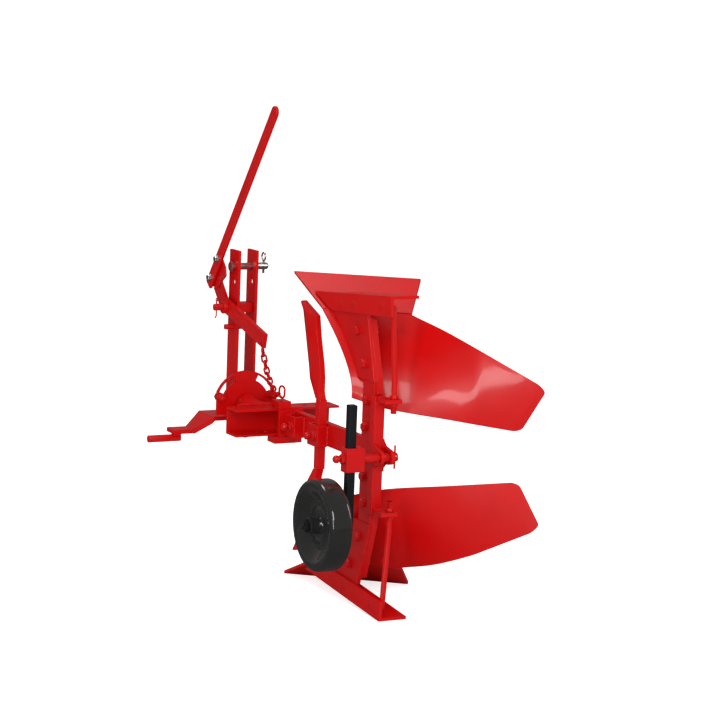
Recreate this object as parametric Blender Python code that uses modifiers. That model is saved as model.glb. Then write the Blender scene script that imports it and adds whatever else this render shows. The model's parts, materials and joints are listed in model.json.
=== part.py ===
"""Reversible one-furrow moldboard plough for a small tractor's three-point linkage.

Metres, +X to the plough's right, +Y in the direction of travel, +Z up. The turnover axis runs along Y
through x = 0 at axisHeight, and y = 0 lies inside the mast. The upper and the lower plough body mirror
each other in the plane of the turnover axis. The last step stands the whole plough over its own centre.
"""
import math

import bmesh
import bpy
from mathutils import Matrix, Vector

# ---- driving dimensions -------------------------------------------------------------------------
fit = 0.0003  # gap between pieces that touch
runningFit = 0.0005  # radial clearance of a turning shaft
axisHeight = 0.414  # turnover axis above the share edges

mastGap = 0.044
mastThickness = 0.008
mastWidth = 0.058
mastFrontY = 0.013
mastTop = 0.450  # above the turnover axis, as every height below
mastHoleRadius = 0.0105
topPinHeight = 0.405
secondHoleHeight = 0.363
topPinRadius = 0.0095
topPinLength = 0.112
mastStopHeight = 0.240
mastStopRadius = 0.0075

crossBarThickness = 0.012
crossBarTop = -0.006
crossBarDrop = 0.042
crossBarFrontY = 0.082
crossBarRearY = -0.022
crossBarBendX = 0.079
crossBarFootX = 0.118
crossBarEndX = 0.174
crossBarEndRearY = 0.030
linkPinRadius = 0.010
linkPinY = 0.038
linkPinStartX = 0.152
linkPinEndX = 0.246

discThickness = 0.009
discRadius = 0.093
discCentre = 0.030
discHalfWidth = 0.085
discBottom = 0.004
slotRadius = 0.079
slotWidth = 0.016
slotStartAngle = 24.0
slotEndAngle = 66.0
spindleRadius = 0.015
spindleTubeRadius = 0.0217
spindleHubRadius = 0.030
spindleNutRadius = 0.022
spindleTubeFrontY = 0.026
spindleEndY = 0.054
stopBoltHeadRadius = 0.0105
stopBoltHeadLength = 0.026
stopBoltAngle = 17.0

slideLeftX = -0.081
slideRightX = 0.226
slideFrontY = -0.108
slideDepth = 0.066
slideHalfHeight = 0.037
slideWall = 0.006
slideHoleRadius = 0.008
slideHoleXs = (0.020, 0.135, 0.172, 0.205)
slideHoleY = -0.140

beamLeftX = 0.0856
beamThickness = 0.020
beamHalfHeight = 0.031

legPlateThickness = 0.010
legPlateFrontY = -0.598
legPlateWidth = 0.062
legPlateHalfHeight = 0.1815
standardLeftX = 0.066
standardThickness = 0.030
standardWidth = 0.024
standardHalfHeight = 0.150

strapWall = 0.006
strapHalfHeight = 0.029
strapInnerY = 0.049
jointerSquare = 0.0232
strapHeight = -0.004
jointerStrapRearY = -0.388
spareStrapRearY = -0.248
jointerBarHalf = 0.093
knifeThickness = 0.018

pivotLugThickness = 0.009
wheelPivotY = -0.712
wheelPivotRadius = 0.011
wheelPivotEndX = 0.119
wheelLegX = -0.012
wheelLegSide = 0.022
wheelLegTop = 0.139
wheelHubDrop = 0.162
wheelRadius = 0.116
wheelWidth = 0.060
wheelLeftX = -0.113
wheelSkin = 0.003
wheelHubRadius = 0.0205
wheelAxleRadius = 0.009
clampHalfHeight = 0.031
clampPlateThickness = 0.0115
clampJaw = 0.020
clampJawReach = 0.034

braceRadius = 0.0075
braceX = 0.103
braceY = -0.7165
braceLugInner = 0.139
braceLugOuter = 0.149
braceNutRadius = 0.011
braceNutHeight = 0.009
braceBendHeight = 0.190
braceEndHeight = 0.112
braceFootY = -0.733
braceFootHeight = 0.385

shareLength = 0.345
shareChord = 0.160
shareSlope = 28.0
shareSkew = 39.6
shareThickness = 0.009
shareBackStart = 0.115
shareBackEnd = 0.352
tipX = 0.063
tipY = -0.199
landsideLeftX = 0.067
landsideThickness = 0.008
landsideFlange = 0.079
landsideFront = (-0.317, 0.3735)
landsideHeel = (-0.748, 0.4135)
landsideHeelTop = (-0.753, 0.361)
landsideFrontTop = (-0.420, 0.337)
landsideFlangeStartY = -0.440
frogTop = 0.352
frogSetback = 0.0031  # the frog's corner behind the moldboard, beyond half the board's slant thickness
frogFrontTop = 0.330
frogRearTopY = -0.607
frogRibThickness = 0.018
frogRibDepth = 0.024
frogRibTop = 0.336
moldboardThickness = 0.008
moldTop = ((0.066, -0.556, 0.128), (0.143, -0.616, 0.104), (0.280, -0.707, 0.085), (0.424, -0.803, 0.064))
moldTail = ((0.288, -0.645, 0.303), (0.362, -0.760, 0.249), (0.470, -0.850, 0.180))
moldSeam = 0.0020  # seam between the share and the moldboard, along the chord
seamShare = 0.42  # part of the moldboard's length that meets the share
moldHollow = 0.054
moldColumns = 26
moldRows = 12
tailRound = 0.05

leverX = -0.052
leverThickness = 0.010
crankThickness = 0.010
leverPivotY = -0.004
leverPivotHeight = 0.293
leverPinRadius = 0.0095
leverPinLeftX = -0.080
handleTop = (-0.316, 0.852)
handleFoot = (0.083, 0.343)
handleWidth = 0.032
crankTop = (0.062, 0.350)
crankEnd = (-0.256, 0.234)
crankWidth = 0.040
bracketThickness = 0.006
chainRadius = 0.007
chainPath = (
    (-0.0442, -0.245, 0.204),
    (-0.028, -0.236, 0.160),
    (-0.004, -0.216, 0.115),
    (0.027, -0.186, 0.080),
    (0.057, -0.160, 0.0646),
)

red = (0.62, 0.012, 0.012, 1.0)
black = (0.02, 0.021, 0.022, 1.0)
zinc = (0.66, 0.66, 0.64, 1.0)
finishes = {
    "red": (red, 0.0, 0.28),
    "black": (black, 0.0, 0.35),
    "zinc": (zinc, 1.0, 0.35),
}

mastRearY = mastFrontY - mastWidth
mastCentreY = mastFrontY - mastWidth / 2
discFrontY = mastRearY - fit
slideRearY = slideFrontY - slideDepth
beamFrontY = slideRearY - fit - clampPlateThickness - fit
legPlateX = beamLeftX - fit - legPlateThickness
legPlateRearY = legPlateFrontY - legPlateWidth
standardFrontY = legPlateRearY - fit
standardRearY = standardFrontY - standardWidth
crossBarBottom = crossBarTop - crossBarThickness


# ---- scene and helpers --------------------------------------------------------------------------
def clearScene():
    for obj in list(bpy.data.objects):
        bpy.data.objects.remove(obj)
    for collection in list(bpy.data.collections):
        bpy.data.collections.remove(collection)


def addCollection(name, hidden):
    collection = bpy.data.collections.new(name)
    bpy.context.scene.collection.children.link(collection)
    collection.hide_render = hidden
    return collection


def pieceMaterial(name, finish):
    colour, metallic, roughness = finishes[finish]
    material = bpy.data.materials.new(name)
    material.use_nodes = True
    shader = material.node_tree.nodes["Principled BSDF"]
    shader.inputs["Base Color"].default_value = colour
    shader.inputs["Metallic"].default_value = metallic
    shader.inputs["Roughness"].default_value = roughness
    material.diffuse_color = colour
    return material


def addEmpty(name, x, y, height):
    empty = bpy.data.objects.new(name, None)
    empty.location = (x, y, axisHeight + height)
    empty.parent = ploughBase
    partCollection.objects.link(empty)
    return empty


def standOverCentre(base):
    """Moves the plough so that the middle of its bounds is over the origin and its lowest point at 0."""
    bpy.context.view_layer.update()
    graph = bpy.context.evaluated_depsgraph_get()
    corners = []
    for obj in partCollection.objects:
        if obj.type == "MESH":
            shape = obj.evaluated_get(graph)
            corners += [shape.matrix_world @ vertex.co for vertex in shape.data.vertices]
    low = [min(corner[i] for corner in corners) for i in range(3)]
    high = [max(corner[i] for corner in corners) for i in range(3)]
    base.location = (-(low[0] + high[0]) / 2, -(low[1] + high[1]) / 2, -low[2])


def meshFromBmesh(name, mesh):
    bmesh.ops.recalc_face_normals(mesh, faces=mesh.faces)
    data = bpy.data.meshes.new(name)
    mesh.to_mesh(data)
    mesh.free()
    return data


def linkPiece(name, data, finish, axis, round_=False):
    """Adds the piece; its points are about the turnover axis's height, and it hangs from an axis empty."""
    obj = bpy.data.objects.new(name, data)
    partCollection.objects.link(obj)
    obj.data.materials.append(pieceMaterial(name, finish))
    obj.parent = axis
    obj.location = Vector((0, 0, axisHeight)) - axis.location
    if round_:
        obj.data.shade_smooth()
        obj.data.set_sharp_from_angle(angle=math.radians(35))
    return obj


def linkHelper(name, data):
    obj = bpy.data.objects.new(name, data)
    helperCollection.objects.link(obj)
    obj.parent = ploughBase
    obj.location = (0, 0, axisHeight)
    obj.hide_render = True
    obj.display_type = "WIRE"
    return obj


def boxMesh(name, low, high):
    mesh = bmesh.new()
    bmesh.ops.create_cube(mesh, size=1)
    size = [high[i] - low[i] for i in range(3)]
    centre = [(high[i] + low[i]) / 2 for i in range(3)]
    place = Matrix.Translation(centre) @ Matrix.Diagonal((*size, 1))
    bmesh.ops.transform(mesh, matrix=place, verts=mesh.verts)
    return meshFromBmesh(name, mesh)


def rodMesh(name, start, end, radius, segments=24, endRadius=None):
    """A cylinder or cone from start to end."""
    start, end = Vector(start), Vector(end)
    mesh = bmesh.new()
    bmesh.ops.create_cone(
        mesh,
        cap_ends=True,
        segments=segments,
        radius1=radius,
        radius2=radius if endRadius is None else endRadius,
        depth=(end - start).length,
    )
    turn = Vector((0, 0, 1)).rotation_difference(end - start).to_matrix().to_4x4()
    bmesh.ops.transform(mesh, matrix=Matrix.Translation((start + end) / 2) @ turn, verts=mesh.verts)
    return meshFromBmesh(name, mesh)


def curveMesh(name, curve, frame):
    """The mesh of a curve, carried by the matrix frame."""
    holder = bpy.data.objects.new(name + ".curve", curve)
    bpy.context.scene.collection.objects.link(holder)
    graph = bpy.context.evaluated_depsgraph_get()
    data = bpy.data.meshes.new_from_object(holder.evaluated_get(graph))
    bpy.data.objects.remove(holder)
    bpy.data.curves.remove(curve)
    mesh = bmesh.new()
    mesh.from_mesh(data)
    bpy.data.meshes.remove(data)
    bmesh.ops.remove_doubles(mesh, verts=mesh.verts, dist=1e-5)
    bmesh.ops.transform(mesh, matrix=frame, verts=mesh.verts)
    return meshFromBmesh(name, mesh)


def tubeMesh(name, points, radius):
    """A round bar bent through the points."""
    curve = bpy.data.curves.new(name, "CURVE")
    curve.dimensions = "3D"
    curve.bevel_depth = radius
    curve.bevel_resolution = 3
    curve.use_fill_caps = True
    spline = curve.splines.new("POLY")
    spline.points.add(len(points) - 1)
    for point, place in zip(spline.points, points):
        point.co = (*place, 1)
    return curveMesh(name, curve, Matrix.Identity(4))


def plateMesh(name, outline, thickness, frame):
    """A flat outline, as a filled 2-D curve, extruded and carried by the matrix frame."""
    curve = bpy.data.curves.new(name, "CURVE")
    curve.dimensions = "2D"
    curve.fill_mode = "BOTH"
    curve.extrude = thickness / 2
    loops = outline if isinstance(outline[0][0], (tuple, list)) else [outline]
    for loop in loops:
        spline = curve.splines.new("POLY")
        spline.points.add(len(loop) - 1)
        for point, (u, v) in zip(spline.points, loop):
            point.co = (u, v, 0, 1)
        spline.use_cyclic_u = True
    return curveMesh(name, curve, frame)


def acrossX(centreX):
    """Carries an outline of (y, height) points to a plate that faces X."""
    return Matrix(((0, 0, 1, centreX), (1, 0, 0, 0), (0, 1, 0, 0), (0, 0, 0, 1)))


def acrossY(centreY):
    """Carries an outline of (x, height) points to a plate that faces Y."""
    return Matrix(((1, 0, 0, 0), (0, 0, 1, centreY), (0, 1, 0, 0), (0, 0, 0, 1)))


def acrossZ(centreHeight):
    """Carries an outline of (x, y) points to a plate that faces Z."""
    return Matrix(((1, 0, 0, 0), (0, 1, 0, 0), (0, 0, 1, centreHeight), (0, 0, 0, 1)))


def arc(centre, radius, startAngle, endAngle, steps):
    """Points on an arc, with the angles in degrees."""
    points = []
    for step in range(steps + 1):
        angle = math.radians(startAngle + (endAngle - startAngle) * step / steps)
        points.append((centre[0] + radius * math.cos(angle), centre[1] + radius * math.sin(angle)))
    return points


def boolean(obj, helper, operation="DIFFERENCE"):
    modifier = obj.modifiers.new(helper.name, "BOOLEAN")
    modifier.operation = operation
    modifier.object = helper
    modifier.solver = "EXACT"


def cutRod(obj, name, start, end, radius, segments=24):
    boolean(obj, linkHelper(name, rodMesh(name, start, end, radius, segments)))


def joinRod(obj, name, start, end, radius, segments=24):
    boolean(obj, linkHelper(name, rodMesh(name, start, end, radius, segments)), "UNION")


def joinMesh(obj, name, data):
    boolean(obj, linkHelper(name, data), "UNION")


def mirrored(points, side):
    return [(y, side * height) for y, height in points]


# ---- headstock ----------------------------------------------------------------------------------
def addMasts():
    for name, side in (("mast_left", -1), ("mast_right", 1)):
        centreX = side * (mastGap + mastThickness) / 2
        outline = [
            (mastFrontY, crossBarTop + fit),
            (mastFrontY, mastTop),
            (mastRearY, mastTop),
            (mastRearY, crossBarTop + fit),
        ]
        data = plateMesh(name, outline, mastThickness, acrossX(centreX))
        mast = linkPiece(name, data, "red", headstockBase)
        holes = (
            ("top_hole", topPinHeight, mastHoleRadius),
            ("second_hole", secondHoleHeight, mastHoleRadius),
            ("stop_hole", mastStopHeight, mastStopRadius + fit),
            ("lever_hole", leverPivotHeight, leverPinRadius + fit),
        )
        for holeName, height, radius in holes:
            y = leverPivotY if holeName == "lever_hole" else mastCentreY
            start, end = (centreX - 0.02, y, height), (centreX + 0.02, y, height)
            cutRod(mast, f"{name}.{holeName}", start, end, radius)


def addMastCrosspiece():
    half = mastGap / 2 - fit
    low = (-half, mastRearY + 0.012, leverPivotHeight - 0.013)
    high = (half, mastFrontY - 0.004, leverPivotHeight + 0.013)
    piece = linkPiece("mast_crosspiece", boxMesh("mast_crosspiece", low, high), "red", headstockBase)
    cutRod(
        piece,
        "mast_crosspiece.bore",
        (-half - 0.01, leverPivotY, leverPivotHeight),
        (half + 0.01, leverPivotY, leverPivotHeight),
        leverPinRadius + fit,
    )


def addTopLinkPin():
    height, y = topPinHeight, mastCentreY
    outer = mastGap / 2 + mastThickness
    start = (-outer - 0.0118, y, height)
    pin = linkPiece(
        "top_link_pin",
        rodMesh("top_link_pin", start, (start[0] + topPinLength, y, height), topPinRadius),
        "zinc",
        headstockBase,
        True,
    )
    joinRod(pin, "top_link_pin.head", start, (-outer - 0.003, y, height), 0.0145, 12)
    ringX = start[0] + topPinLength - 0.012
    cutRod(pin, "top_link_pin.cross_hole", (ringX, y, height - 0.03), (ringX, y, height + 0.03), 0.0038, 12)
    lynch = linkPiece(
        "top_link_lynch_pin",
        rodMesh("top_link_lynch_pin", (ringX, y, height - 0.020), (ringX, y, height + 0.0145), 0.0033, 12),
        "zinc",
        headstockBase,
        True,
    )
    joinMesh(lynch, "top_link_lynch_pin.ring", ringMesh((ringX, y, height + 0.0255), 0.011, 0.0026))


def ringMesh(centre, radius, wire, plane="X"):
    """A closed ring of round wire, facing X, Y or Z."""
    data = bpy.data.meshes.new("ring")
    mesh = bmesh.new()
    around, about = 20, 8
    rows = []
    for i in range(around):
        a = 2 * math.pi * i / around
        row = []
        for j in range(about):
            b = 2 * math.pi * j / about
            r = radius + wire * math.cos(b)
            local = (wire * math.sin(b), r * math.cos(a), r * math.sin(a))
            if plane == "Y":
                local = (local[1], local[0], local[2])
            if plane == "Z":
                local = (local[1], local[2], local[0])
            row.append(mesh.verts.new(Vector(centre) + Vector(local)))
        rows.append(row)
    for i in range(around):
        for j in range(about):
            ni, nj = (i + 1) % around, (j + 1) % about
            mesh.faces.new((rows[i][j], rows[ni][j], rows[ni][nj], rows[i][nj]))
    bmesh.ops.recalc_face_normals(mesh, faces=mesh.faces)
    mesh.to_mesh(data)
    mesh.free()
    return data


def addMastStopPin():
    outer = mastGap / 2 + mastThickness
    start = (-outer - 0.022, mastCentreY, mastStopHeight)
    end = (outer + 0.010, mastCentreY, mastStopHeight)
    data = rodMesh("mast_stop_pin", start, end, mastStopRadius, 20)
    linkPiece("mast_stop_pin", data, "red", headstockBase, True)


def crossBarOutline():
    """Half of the cranked bar seen from the rear, as (x, height), from the middle outwards and back."""
    top, drop, thick = crossBarTop, crossBarDrop, crossBarThickness
    half = [
        (crossBarBendX, top),
        (crossBarFootX, top - drop),
        (crossBarEndX, top - drop),
        (crossBarEndX, top - drop - thick),
        (crossBarFootX - 0.004, top - drop - thick),
        (crossBarBendX - 0.004, top - thick),
    ]
    return half + [(-x, z) for x, z in reversed(half)]


def addCrossBar():
    depth = crossBarFrontY - crossBarRearY
    centreY = (crossBarFrontY + crossBarRearY) / 2
    data = plateMesh("cross_bar", crossBarOutline(), depth, acrossY(centreY))
    bar = linkPiece("cross_bar", data, "red", headstockBase)
    low = (-spindleTubeRadius - fit, crossBarRearY - 0.01, crossBarBottom - 0.01)
    high = (spindleTubeRadius + fit, spindleTubeFrontY + 0.001, crossBarTop + 0.01)
    boolean(bar, linkHelper("cross_bar.tube_notch", boxMesh("cross_bar.tube_notch", low, high)))
    half = spindleNutRadius + 0.002
    low = (-half, spindleTubeFrontY, crossBarBottom - 0.01)
    high = (half, spindleEndY + 0.004, crossBarTop + 0.01)
    boolean(bar, linkHelper("cross_bar.nut_notch", boxMesh("cross_bar.nut_notch", low, high)))
    for side in (-1, 1):
        corner = [
            (side * (crossBarBendX + 0.002), crossBarRearY - 0.01),
            (side * (crossBarBendX + 0.002), crossBarRearY - 0.001),
            (side * crossBarFootX, crossBarEndRearY),
            (side * (crossBarEndX + 0.01), crossBarEndRearY),
            (side * (crossBarEndX + 0.01), crossBarRearY - 0.01),
        ]
        name = f"cross_bar.corner_{'left' if side < 0 else 'right'}"
        boolean(bar, linkHelper(name, plateMesh(name, corner, 0.2, acrossZ(-0.05))))


def addLinkPins():
    """The two lower link pins, welded under the ends of the cross bar."""
    height = crossBarBottom - crossBarDrop - fit - linkPinRadius
    for name, side in (("lower_link_pin_left", -1), ("lower_link_pin_right", 1)):
        start, end = (side * linkPinStartX, linkPinY, height), (side * linkPinEndX, linkPinY, height)
        linkPiece(name, rodMesh(name, start, end, linkPinRadius), "red", headstockBase, True)


def addTurnoverDisc():
    sideX = discHalfWidth
    trim = math.degrees(math.acos(sideX / discRadius))
    outline = arc((0, discCentre), discRadius, trim, 180 - trim, 32)
    outline += [(-sideX, discBottom), (sideX, discBottom)]
    loops = [outline]
    for mirror in (-1, 1):
        inner = arc((0, discCentre), slotRadius - slotWidth / 2, slotStartAngle, slotEndAngle, 8)
        outer = arc((0, discCentre), slotRadius + slotWidth / 2, slotEndAngle, slotStartAngle, 8)
        loops.append([(mirror * x, z) for x, z in inner + outer])
    centreY = discFrontY - discThickness / 2
    data = plateMesh("turnover_disc", loops, discThickness, acrossY(centreY))
    disc = linkPiece("turnover_disc", data, "red", headstockBase)
    start, end = (0, centreY - 0.02, 0), (0, centreY + 0.02, 0)
    cutRod(disc, "turnover_disc.bore", start, end, spindleTubeRadius + fit, 32)


def addSpindleTube():
    tubeRearY = discFrontY - discThickness
    tube = linkPiece(
        "spindle_tube",
        rodMesh("spindle_tube", (0, tubeRearY, 0), (0, spindleTubeFrontY, 0), spindleTubeRadius, 32),
        "red",
        headstockBase,
        True,
    )
    cutRod(
        tube,
        "spindle_tube.bore",
        (0, tubeRearY - 0.01, 0),
        (0, spindleTubeFrontY + 0.01, 0),
        spindleRadius + runningFit,
        32,
    )


def addStopBolts():
    for name, side in (("stop_bolt_left", -1), ("stop_bolt_right", 1)):
        angle = math.radians(stopBoltAngle)
        x = side * (slotRadius + 0.001) * math.cos(angle)
        height = discCentre + slotRadius * math.sin(angle)
        rear = discFrontY - discThickness
        start, end = (x, rear - fit, height), (x, rear - stopBoltHeadLength, height)
        head = linkPiece(name, rodMesh(name, start, end, stopBoltHeadRadius, 6), "red", headstockBase)
        joinRod(head, name + ".washer", start, (x, rear - 0.003, height), stopBoltHeadRadius + 0.002, 20)


# ---- hand lever ---------------------------------------------------------------------------------
def stripOutline(start, end, width):
    """A rectangle of (y, height) points about the line from start to end."""
    a, b = Vector(start), Vector(end)
    side = (b - a).normalized().orthogonal() * width / 2
    return [tuple(a + side), tuple(b + side), tuple(b - side), tuple(a - side)]


def addLeverCrank():
    pivot = (leverPivotY, leverPivotHeight)
    shoulder = (leverPivotY + 0.006, leverPivotHeight + 0.004)
    centreX = leverX + leverThickness / 2 + fit + crankThickness / 2
    lowerArm = stripOutline(shoulder, crankEnd, crankWidth)
    data = plateMesh("lever_crank", lowerArm, crankThickness, acrossX(centreX))
    crank = linkPiece("lever_crank", data, "red", leverPivot)
    upperArm = stripOutline((0.0, 0.287), crankTop, crankWidth + 0.004)
    upper = plateMesh("lever_crank.upper", upperArm, crankThickness, acrossX(centreX))
    joinMesh(crank, "lever_crank.upper", upper)
    joinRod(
        crank,
        "lever_crank.boss",
        (centreX - crankThickness / 2 - 0.010, *pivot),
        (-mastGap / 2 - mastThickness - runningFit, *pivot),
        0.017,
    )
    start, end = (centreX - 0.03, *pivot), (centreX + 0.03, *pivot)
    cutRod(crank, "lever_crank.bore", start, end, leverPinRadius + fit)
    eye = (crankEnd[0] + 0.016, crankEnd[1] - 0.010)
    cutRod(crank, "lever_crank.chain_hole", (centreX - 0.03, *eye), (centreX + 0.03, *eye), 0.006, 16)


def addLeverPin():
    outer = mastGap / 2 + mastThickness
    linkPiece(
        "lever_pivot_pin",
        rodMesh(
            "lever_pivot_pin",
            (leverPinLeftX, leverPivotY, leverPivotHeight),
            (outer + 0.012, leverPivotY, leverPivotHeight),
            leverPinRadius,
        ),
        "red",
        headstockBase,
        True,
    )


def addLeverBracket():
    centreX = leverX + leverThickness / 2 - bracketThickness / 2
    outline = [(0.098, 0.345), (0.048, 0.337), (-0.010, 0.378)]
    outline += [(-0.006, 0.400), (0.018, 0.424), (0.034, 0.432)]
    data = plateMesh("lever_bracket", outline, bracketThickness, acrossX(centreX))
    linkPiece("lever_bracket", data, "red", leverPivot)


def addLeverHandle():
    bracketLeft = leverX + leverThickness / 2 - bracketThickness
    centreX = bracketLeft - fit - leverThickness / 2
    along = (Vector(handleTop) - Vector(handleFoot)).normalized()
    square = Vector(handleTop) - along * handleWidth / 2
    angle = math.degrees(math.atan2(along[1], along[0]))
    outline = arc(square, handleWidth / 2, angle + 90, angle - 90, 12)
    side = Vector((-along[1], along[0])) * handleWidth / 2
    foot = Vector(handleFoot)
    outline += [tuple(foot - side), tuple(foot + side)]
    data = plateMesh("lever_handle", outline, leverThickness, acrossX(centreX))
    linkPiece("lever_handle", data, "red", leverPivot)
    for number, share in enumerate((0.045, 0.155)):
        y, height = foot + along * (Vector(handleTop) - foot).length * share
        left = centreX - leverThickness / 2
        bolt = linkPiece(
            f"lever_bolt_{number + 1}",
            rodMesh("lever_bolt", (left - fit, y, height), (left - 0.009, y, height), 0.0095, 6),
            "zinc",
            leverPivot,
        )
        start, end = (left - fit, y, height), (left - 0.002, y, height)
        joinRod(bolt, f"lever_bolt_{number + 1}.washer", start, end, 0.011, 20)


def addLiftChain():
    """The chain as one slim solid that sags from the crank's end to the slide clamp."""
    linkPiece("lift_chain", tubeMesh("lift_chain", chainPath, chainRadius), "red", leverPivot, True)


# ---- turnover frame -----------------------------------------------------------------------------
def addCrossSlide():
    wall, half = slideWall, slideHalfHeight
    outline = [
        (slideFrontY, -half),
        (slideFrontY, half),
        (slideRearY, half),
        (slideRearY, half - wall),
        (slideFrontY - wall, half - wall),
        (slideFrontY - wall, -half + wall),
        (slideRearY, -half + wall),
        (slideRearY, -half),
    ]
    length = slideRightX - slideLeftX
    data = plateMesh("cross_slide", outline, length, acrossX((slideRightX + slideLeftX) / 2))
    slide = linkPiece("cross_slide", data, "red", turnoverAxis)
    for number, x in enumerate(slideHoleXs):
        name = f"cross_slide.hole_{number + 1}"
        cutRod(slide, name, (x, slideHoleY, -half - 0.01), (x, slideHoleY, half + 0.01), slideHoleRadius, 20)


def addSpindle():
    spindle = linkPiece(
        "turnover_spindle",
        rodMesh("turnover_spindle", (0, slideFrontY + fit, 0), (0, spindleEndY, 0), spindleRadius, 32),
        "red",
        turnoverAxis,
        True,
    )
    hubFront = discFrontY - discThickness - 0.003
    start, end = (0, slideFrontY + fit, 0), (0, hubFront, 0)
    joinRod(spindle, "turnover_spindle.hub", start, end, spindleHubRadius, 32)
    start, end = (0, spindleTubeFrontY + 0.003, 0), (0, spindleTubeFrontY + 0.022, 0)
    joinRod(spindle, "turnover_spindle.nut", start, end, spindleNutRadius, 6)


def addSlideClamp():
    """The head that grips the slide's two flanges and carries the beam."""
    half, jaw = slideHalfHeight + fit, clampJaw
    plateFront = slideRearY - fit
    plateRear = plateFront - clampPlateThickness
    low, high = (0.040, plateRear, -half - jaw), (0.110, plateFront, half + 0.004)
    clamp = linkPiece("slide_clamp", boxMesh("slide_clamp", low, high), "red", turnoverAxis)
    for name, side, left, right in (("upper", 1, 0.038, 0.074), ("lower", -1, 0.028, 0.092)):
        heights = sorted((side * half, side * (half + jaw)))
        low = (left, plateRear - 0.002, heights[0])
        high = (right, slideRearY + clampJawReach, heights[1])
        data = boxMesh("jaw", low, high)
        joinMesh(clamp, f"slide_clamp.{name}_jaw", data)


def addBeam():
    low = (beamLeftX, standardFrontY + fit, -beamHalfHeight)
    high = (beamLeftX + beamThickness, beamFrontY, beamHalfHeight)
    linkPiece("main_beam", boxMesh("main_beam", low, high), "red", turnoverAxis)


def addStrap(name, rearY):
    """A strap bent round a square socket and welded to the beam's left face."""
    right = beamLeftX - fit
    inner = jointerSquare + 2 * runningFit
    left = right - inner - strapWall
    frontY = rearY + strapInnerY + 2 * strapWall
    outline = [
        (right, frontY),
        (left, frontY),
        (left, rearY),
        (right, rearY),
        (right, rearY + strapWall),
        (left + strapWall, rearY + strapWall),
        (left + strapWall, frontY - strapWall),
        (right, frontY - strapWall),
    ]
    data = plateMesh(name, outline, 2 * strapHalfHeight, acrossZ(strapHeight))
    linkPiece(name, data, "red", turnoverAxis)
    boltY = rearY + strapWall + jointerSquare / 2 + 0.001
    addLockBolt(name.replace("socket", "lock_bolt"), (left - fit, boltY, -0.003), (-1, 0, 0), turnoverAxis)


def addLockBolt(name, seat, direction, axis):
    """A welded nut with its square-headed lock bolt, standing off a seat."""
    seat, direction = Vector(seat), Vector(direction)
    nut = linkPiece(name, rodMesh(name, seat, seat + direction * 0.009, 0.0125, 6), "red", axis)
    joinRod(nut, name + ".shank", seat + direction * 0.004, seat + direction * 0.024, 0.006, 12)
    joinRod(nut, name + ".head", seat + direction * 0.020, seat + direction * 0.030, 0.0105, 16)


def addJointer():
    """The jointer: a square bar in its socket, with a forged knife at each end."""
    right = beamLeftX - fit - runningFit
    left = right - jointerSquare
    rear = jointerStrapRearY + strapWall + runningFit
    low, high = (left, rear, -jointerBarHalf), (right, rear + jointerSquare, jointerBarHalf)
    linkPiece("jointer_bar", boxMesh("jointer_bar", low, high), "red", turnoverAxis)
    centreX = left + knifeThickness / 2
    for name, side in (("jointer_knife_upper", 1), ("jointer_knife_lower", -1)):
        start = jointerBarHalf + fit
        outline = [
            (rear, start),
            (rear + jointerSquare, start),
            (-0.310, 0.140),
            (-0.246, 0.340),
            (-0.330, 0.309),
            (-0.372, 0.150),
        ]
        data = plateMesh(name, mirrored(outline, side), knifeThickness, acrossX(centreX))
        linkPiece(name, data, "red", turnoverAxis)


def addStandard():
    """The leg: a broad plate bolted to the beam's side, with a square bar welded along its rear edge."""
    half = legPlateHalfHeight
    low = (legPlateX, legPlateRearY, -half)
    high = (legPlateX + legPlateThickness, legPlateFrontY, half)
    linkPiece("leg_plate", boxMesh("leg_plate", low, high), "red", turnoverAxis)
    half = standardHalfHeight
    low = (standardLeftX, standardRearY, -half)
    high = (standardLeftX + standardThickness, standardFrontY, half)
    linkPiece("standard", boxMesh("standard", low, high), "red", turnoverAxis)


def addFrogRibs():
    """A bar welded to each frog plate's right face, flush with its rear edge."""
    centreX = legPlateX + legPlateThickness + fit + frogRibThickness / 2
    kneeHeight = legPlateHalfHeight + 0.0125
    for name, side in (("frog_rib_upper", 1), ("frog_rib_lower", -1)):
        rear = [
            (legPlateRearY + fit, standardHalfHeight + 0.002),
            (legPlateRearY + 0.006, kneeHeight),
            (frogRearTopY + 0.001, frogRibTop),
        ]
        front = [(y + frogRibDepth, height) for y, height in reversed(rear)]
        data = plateMesh(name, mirrored(rear + front, side), frogRibThickness, acrossX(centreX))
        linkPiece(name, data, "red", turnoverAxis)


def addPivotLugs():
    """Two plates behind the leg that carry the depth wheel's cross shaft."""
    y, radius = wheelPivotY, 0.019
    rear = standardRearY - fit
    left = [(rear, -0.030), (rear, 0.030)] + arc((y, 0), radius, 90, 270, 10)
    right = [(standardFrontY, -0.045), (standardFrontY, 0.045), (rear, 0.024)]
    right += arc((y, 0), radius, 90, 270, 10) + [(rear, -0.024)]
    lugs = (
        ("pivot_lug_left", left, standardLeftX + 0.002),
        ("pivot_lug_right", right, standardLeftX + standardThickness + fit),
    )
    for name, outline, leftX in lugs:
        data = plateMesh(name, outline, pivotLugThickness, acrossX(leftX + pivotLugThickness / 2))
        lug = linkPiece(name, data, "red", turnoverAxis)
        start, end = (leftX - 0.01, y, 0), (leftX + 0.02, y, 0)
        cutRod(lug, name + ".bore", start, end, wheelPivotRadius + runningFit, 24)


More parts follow.
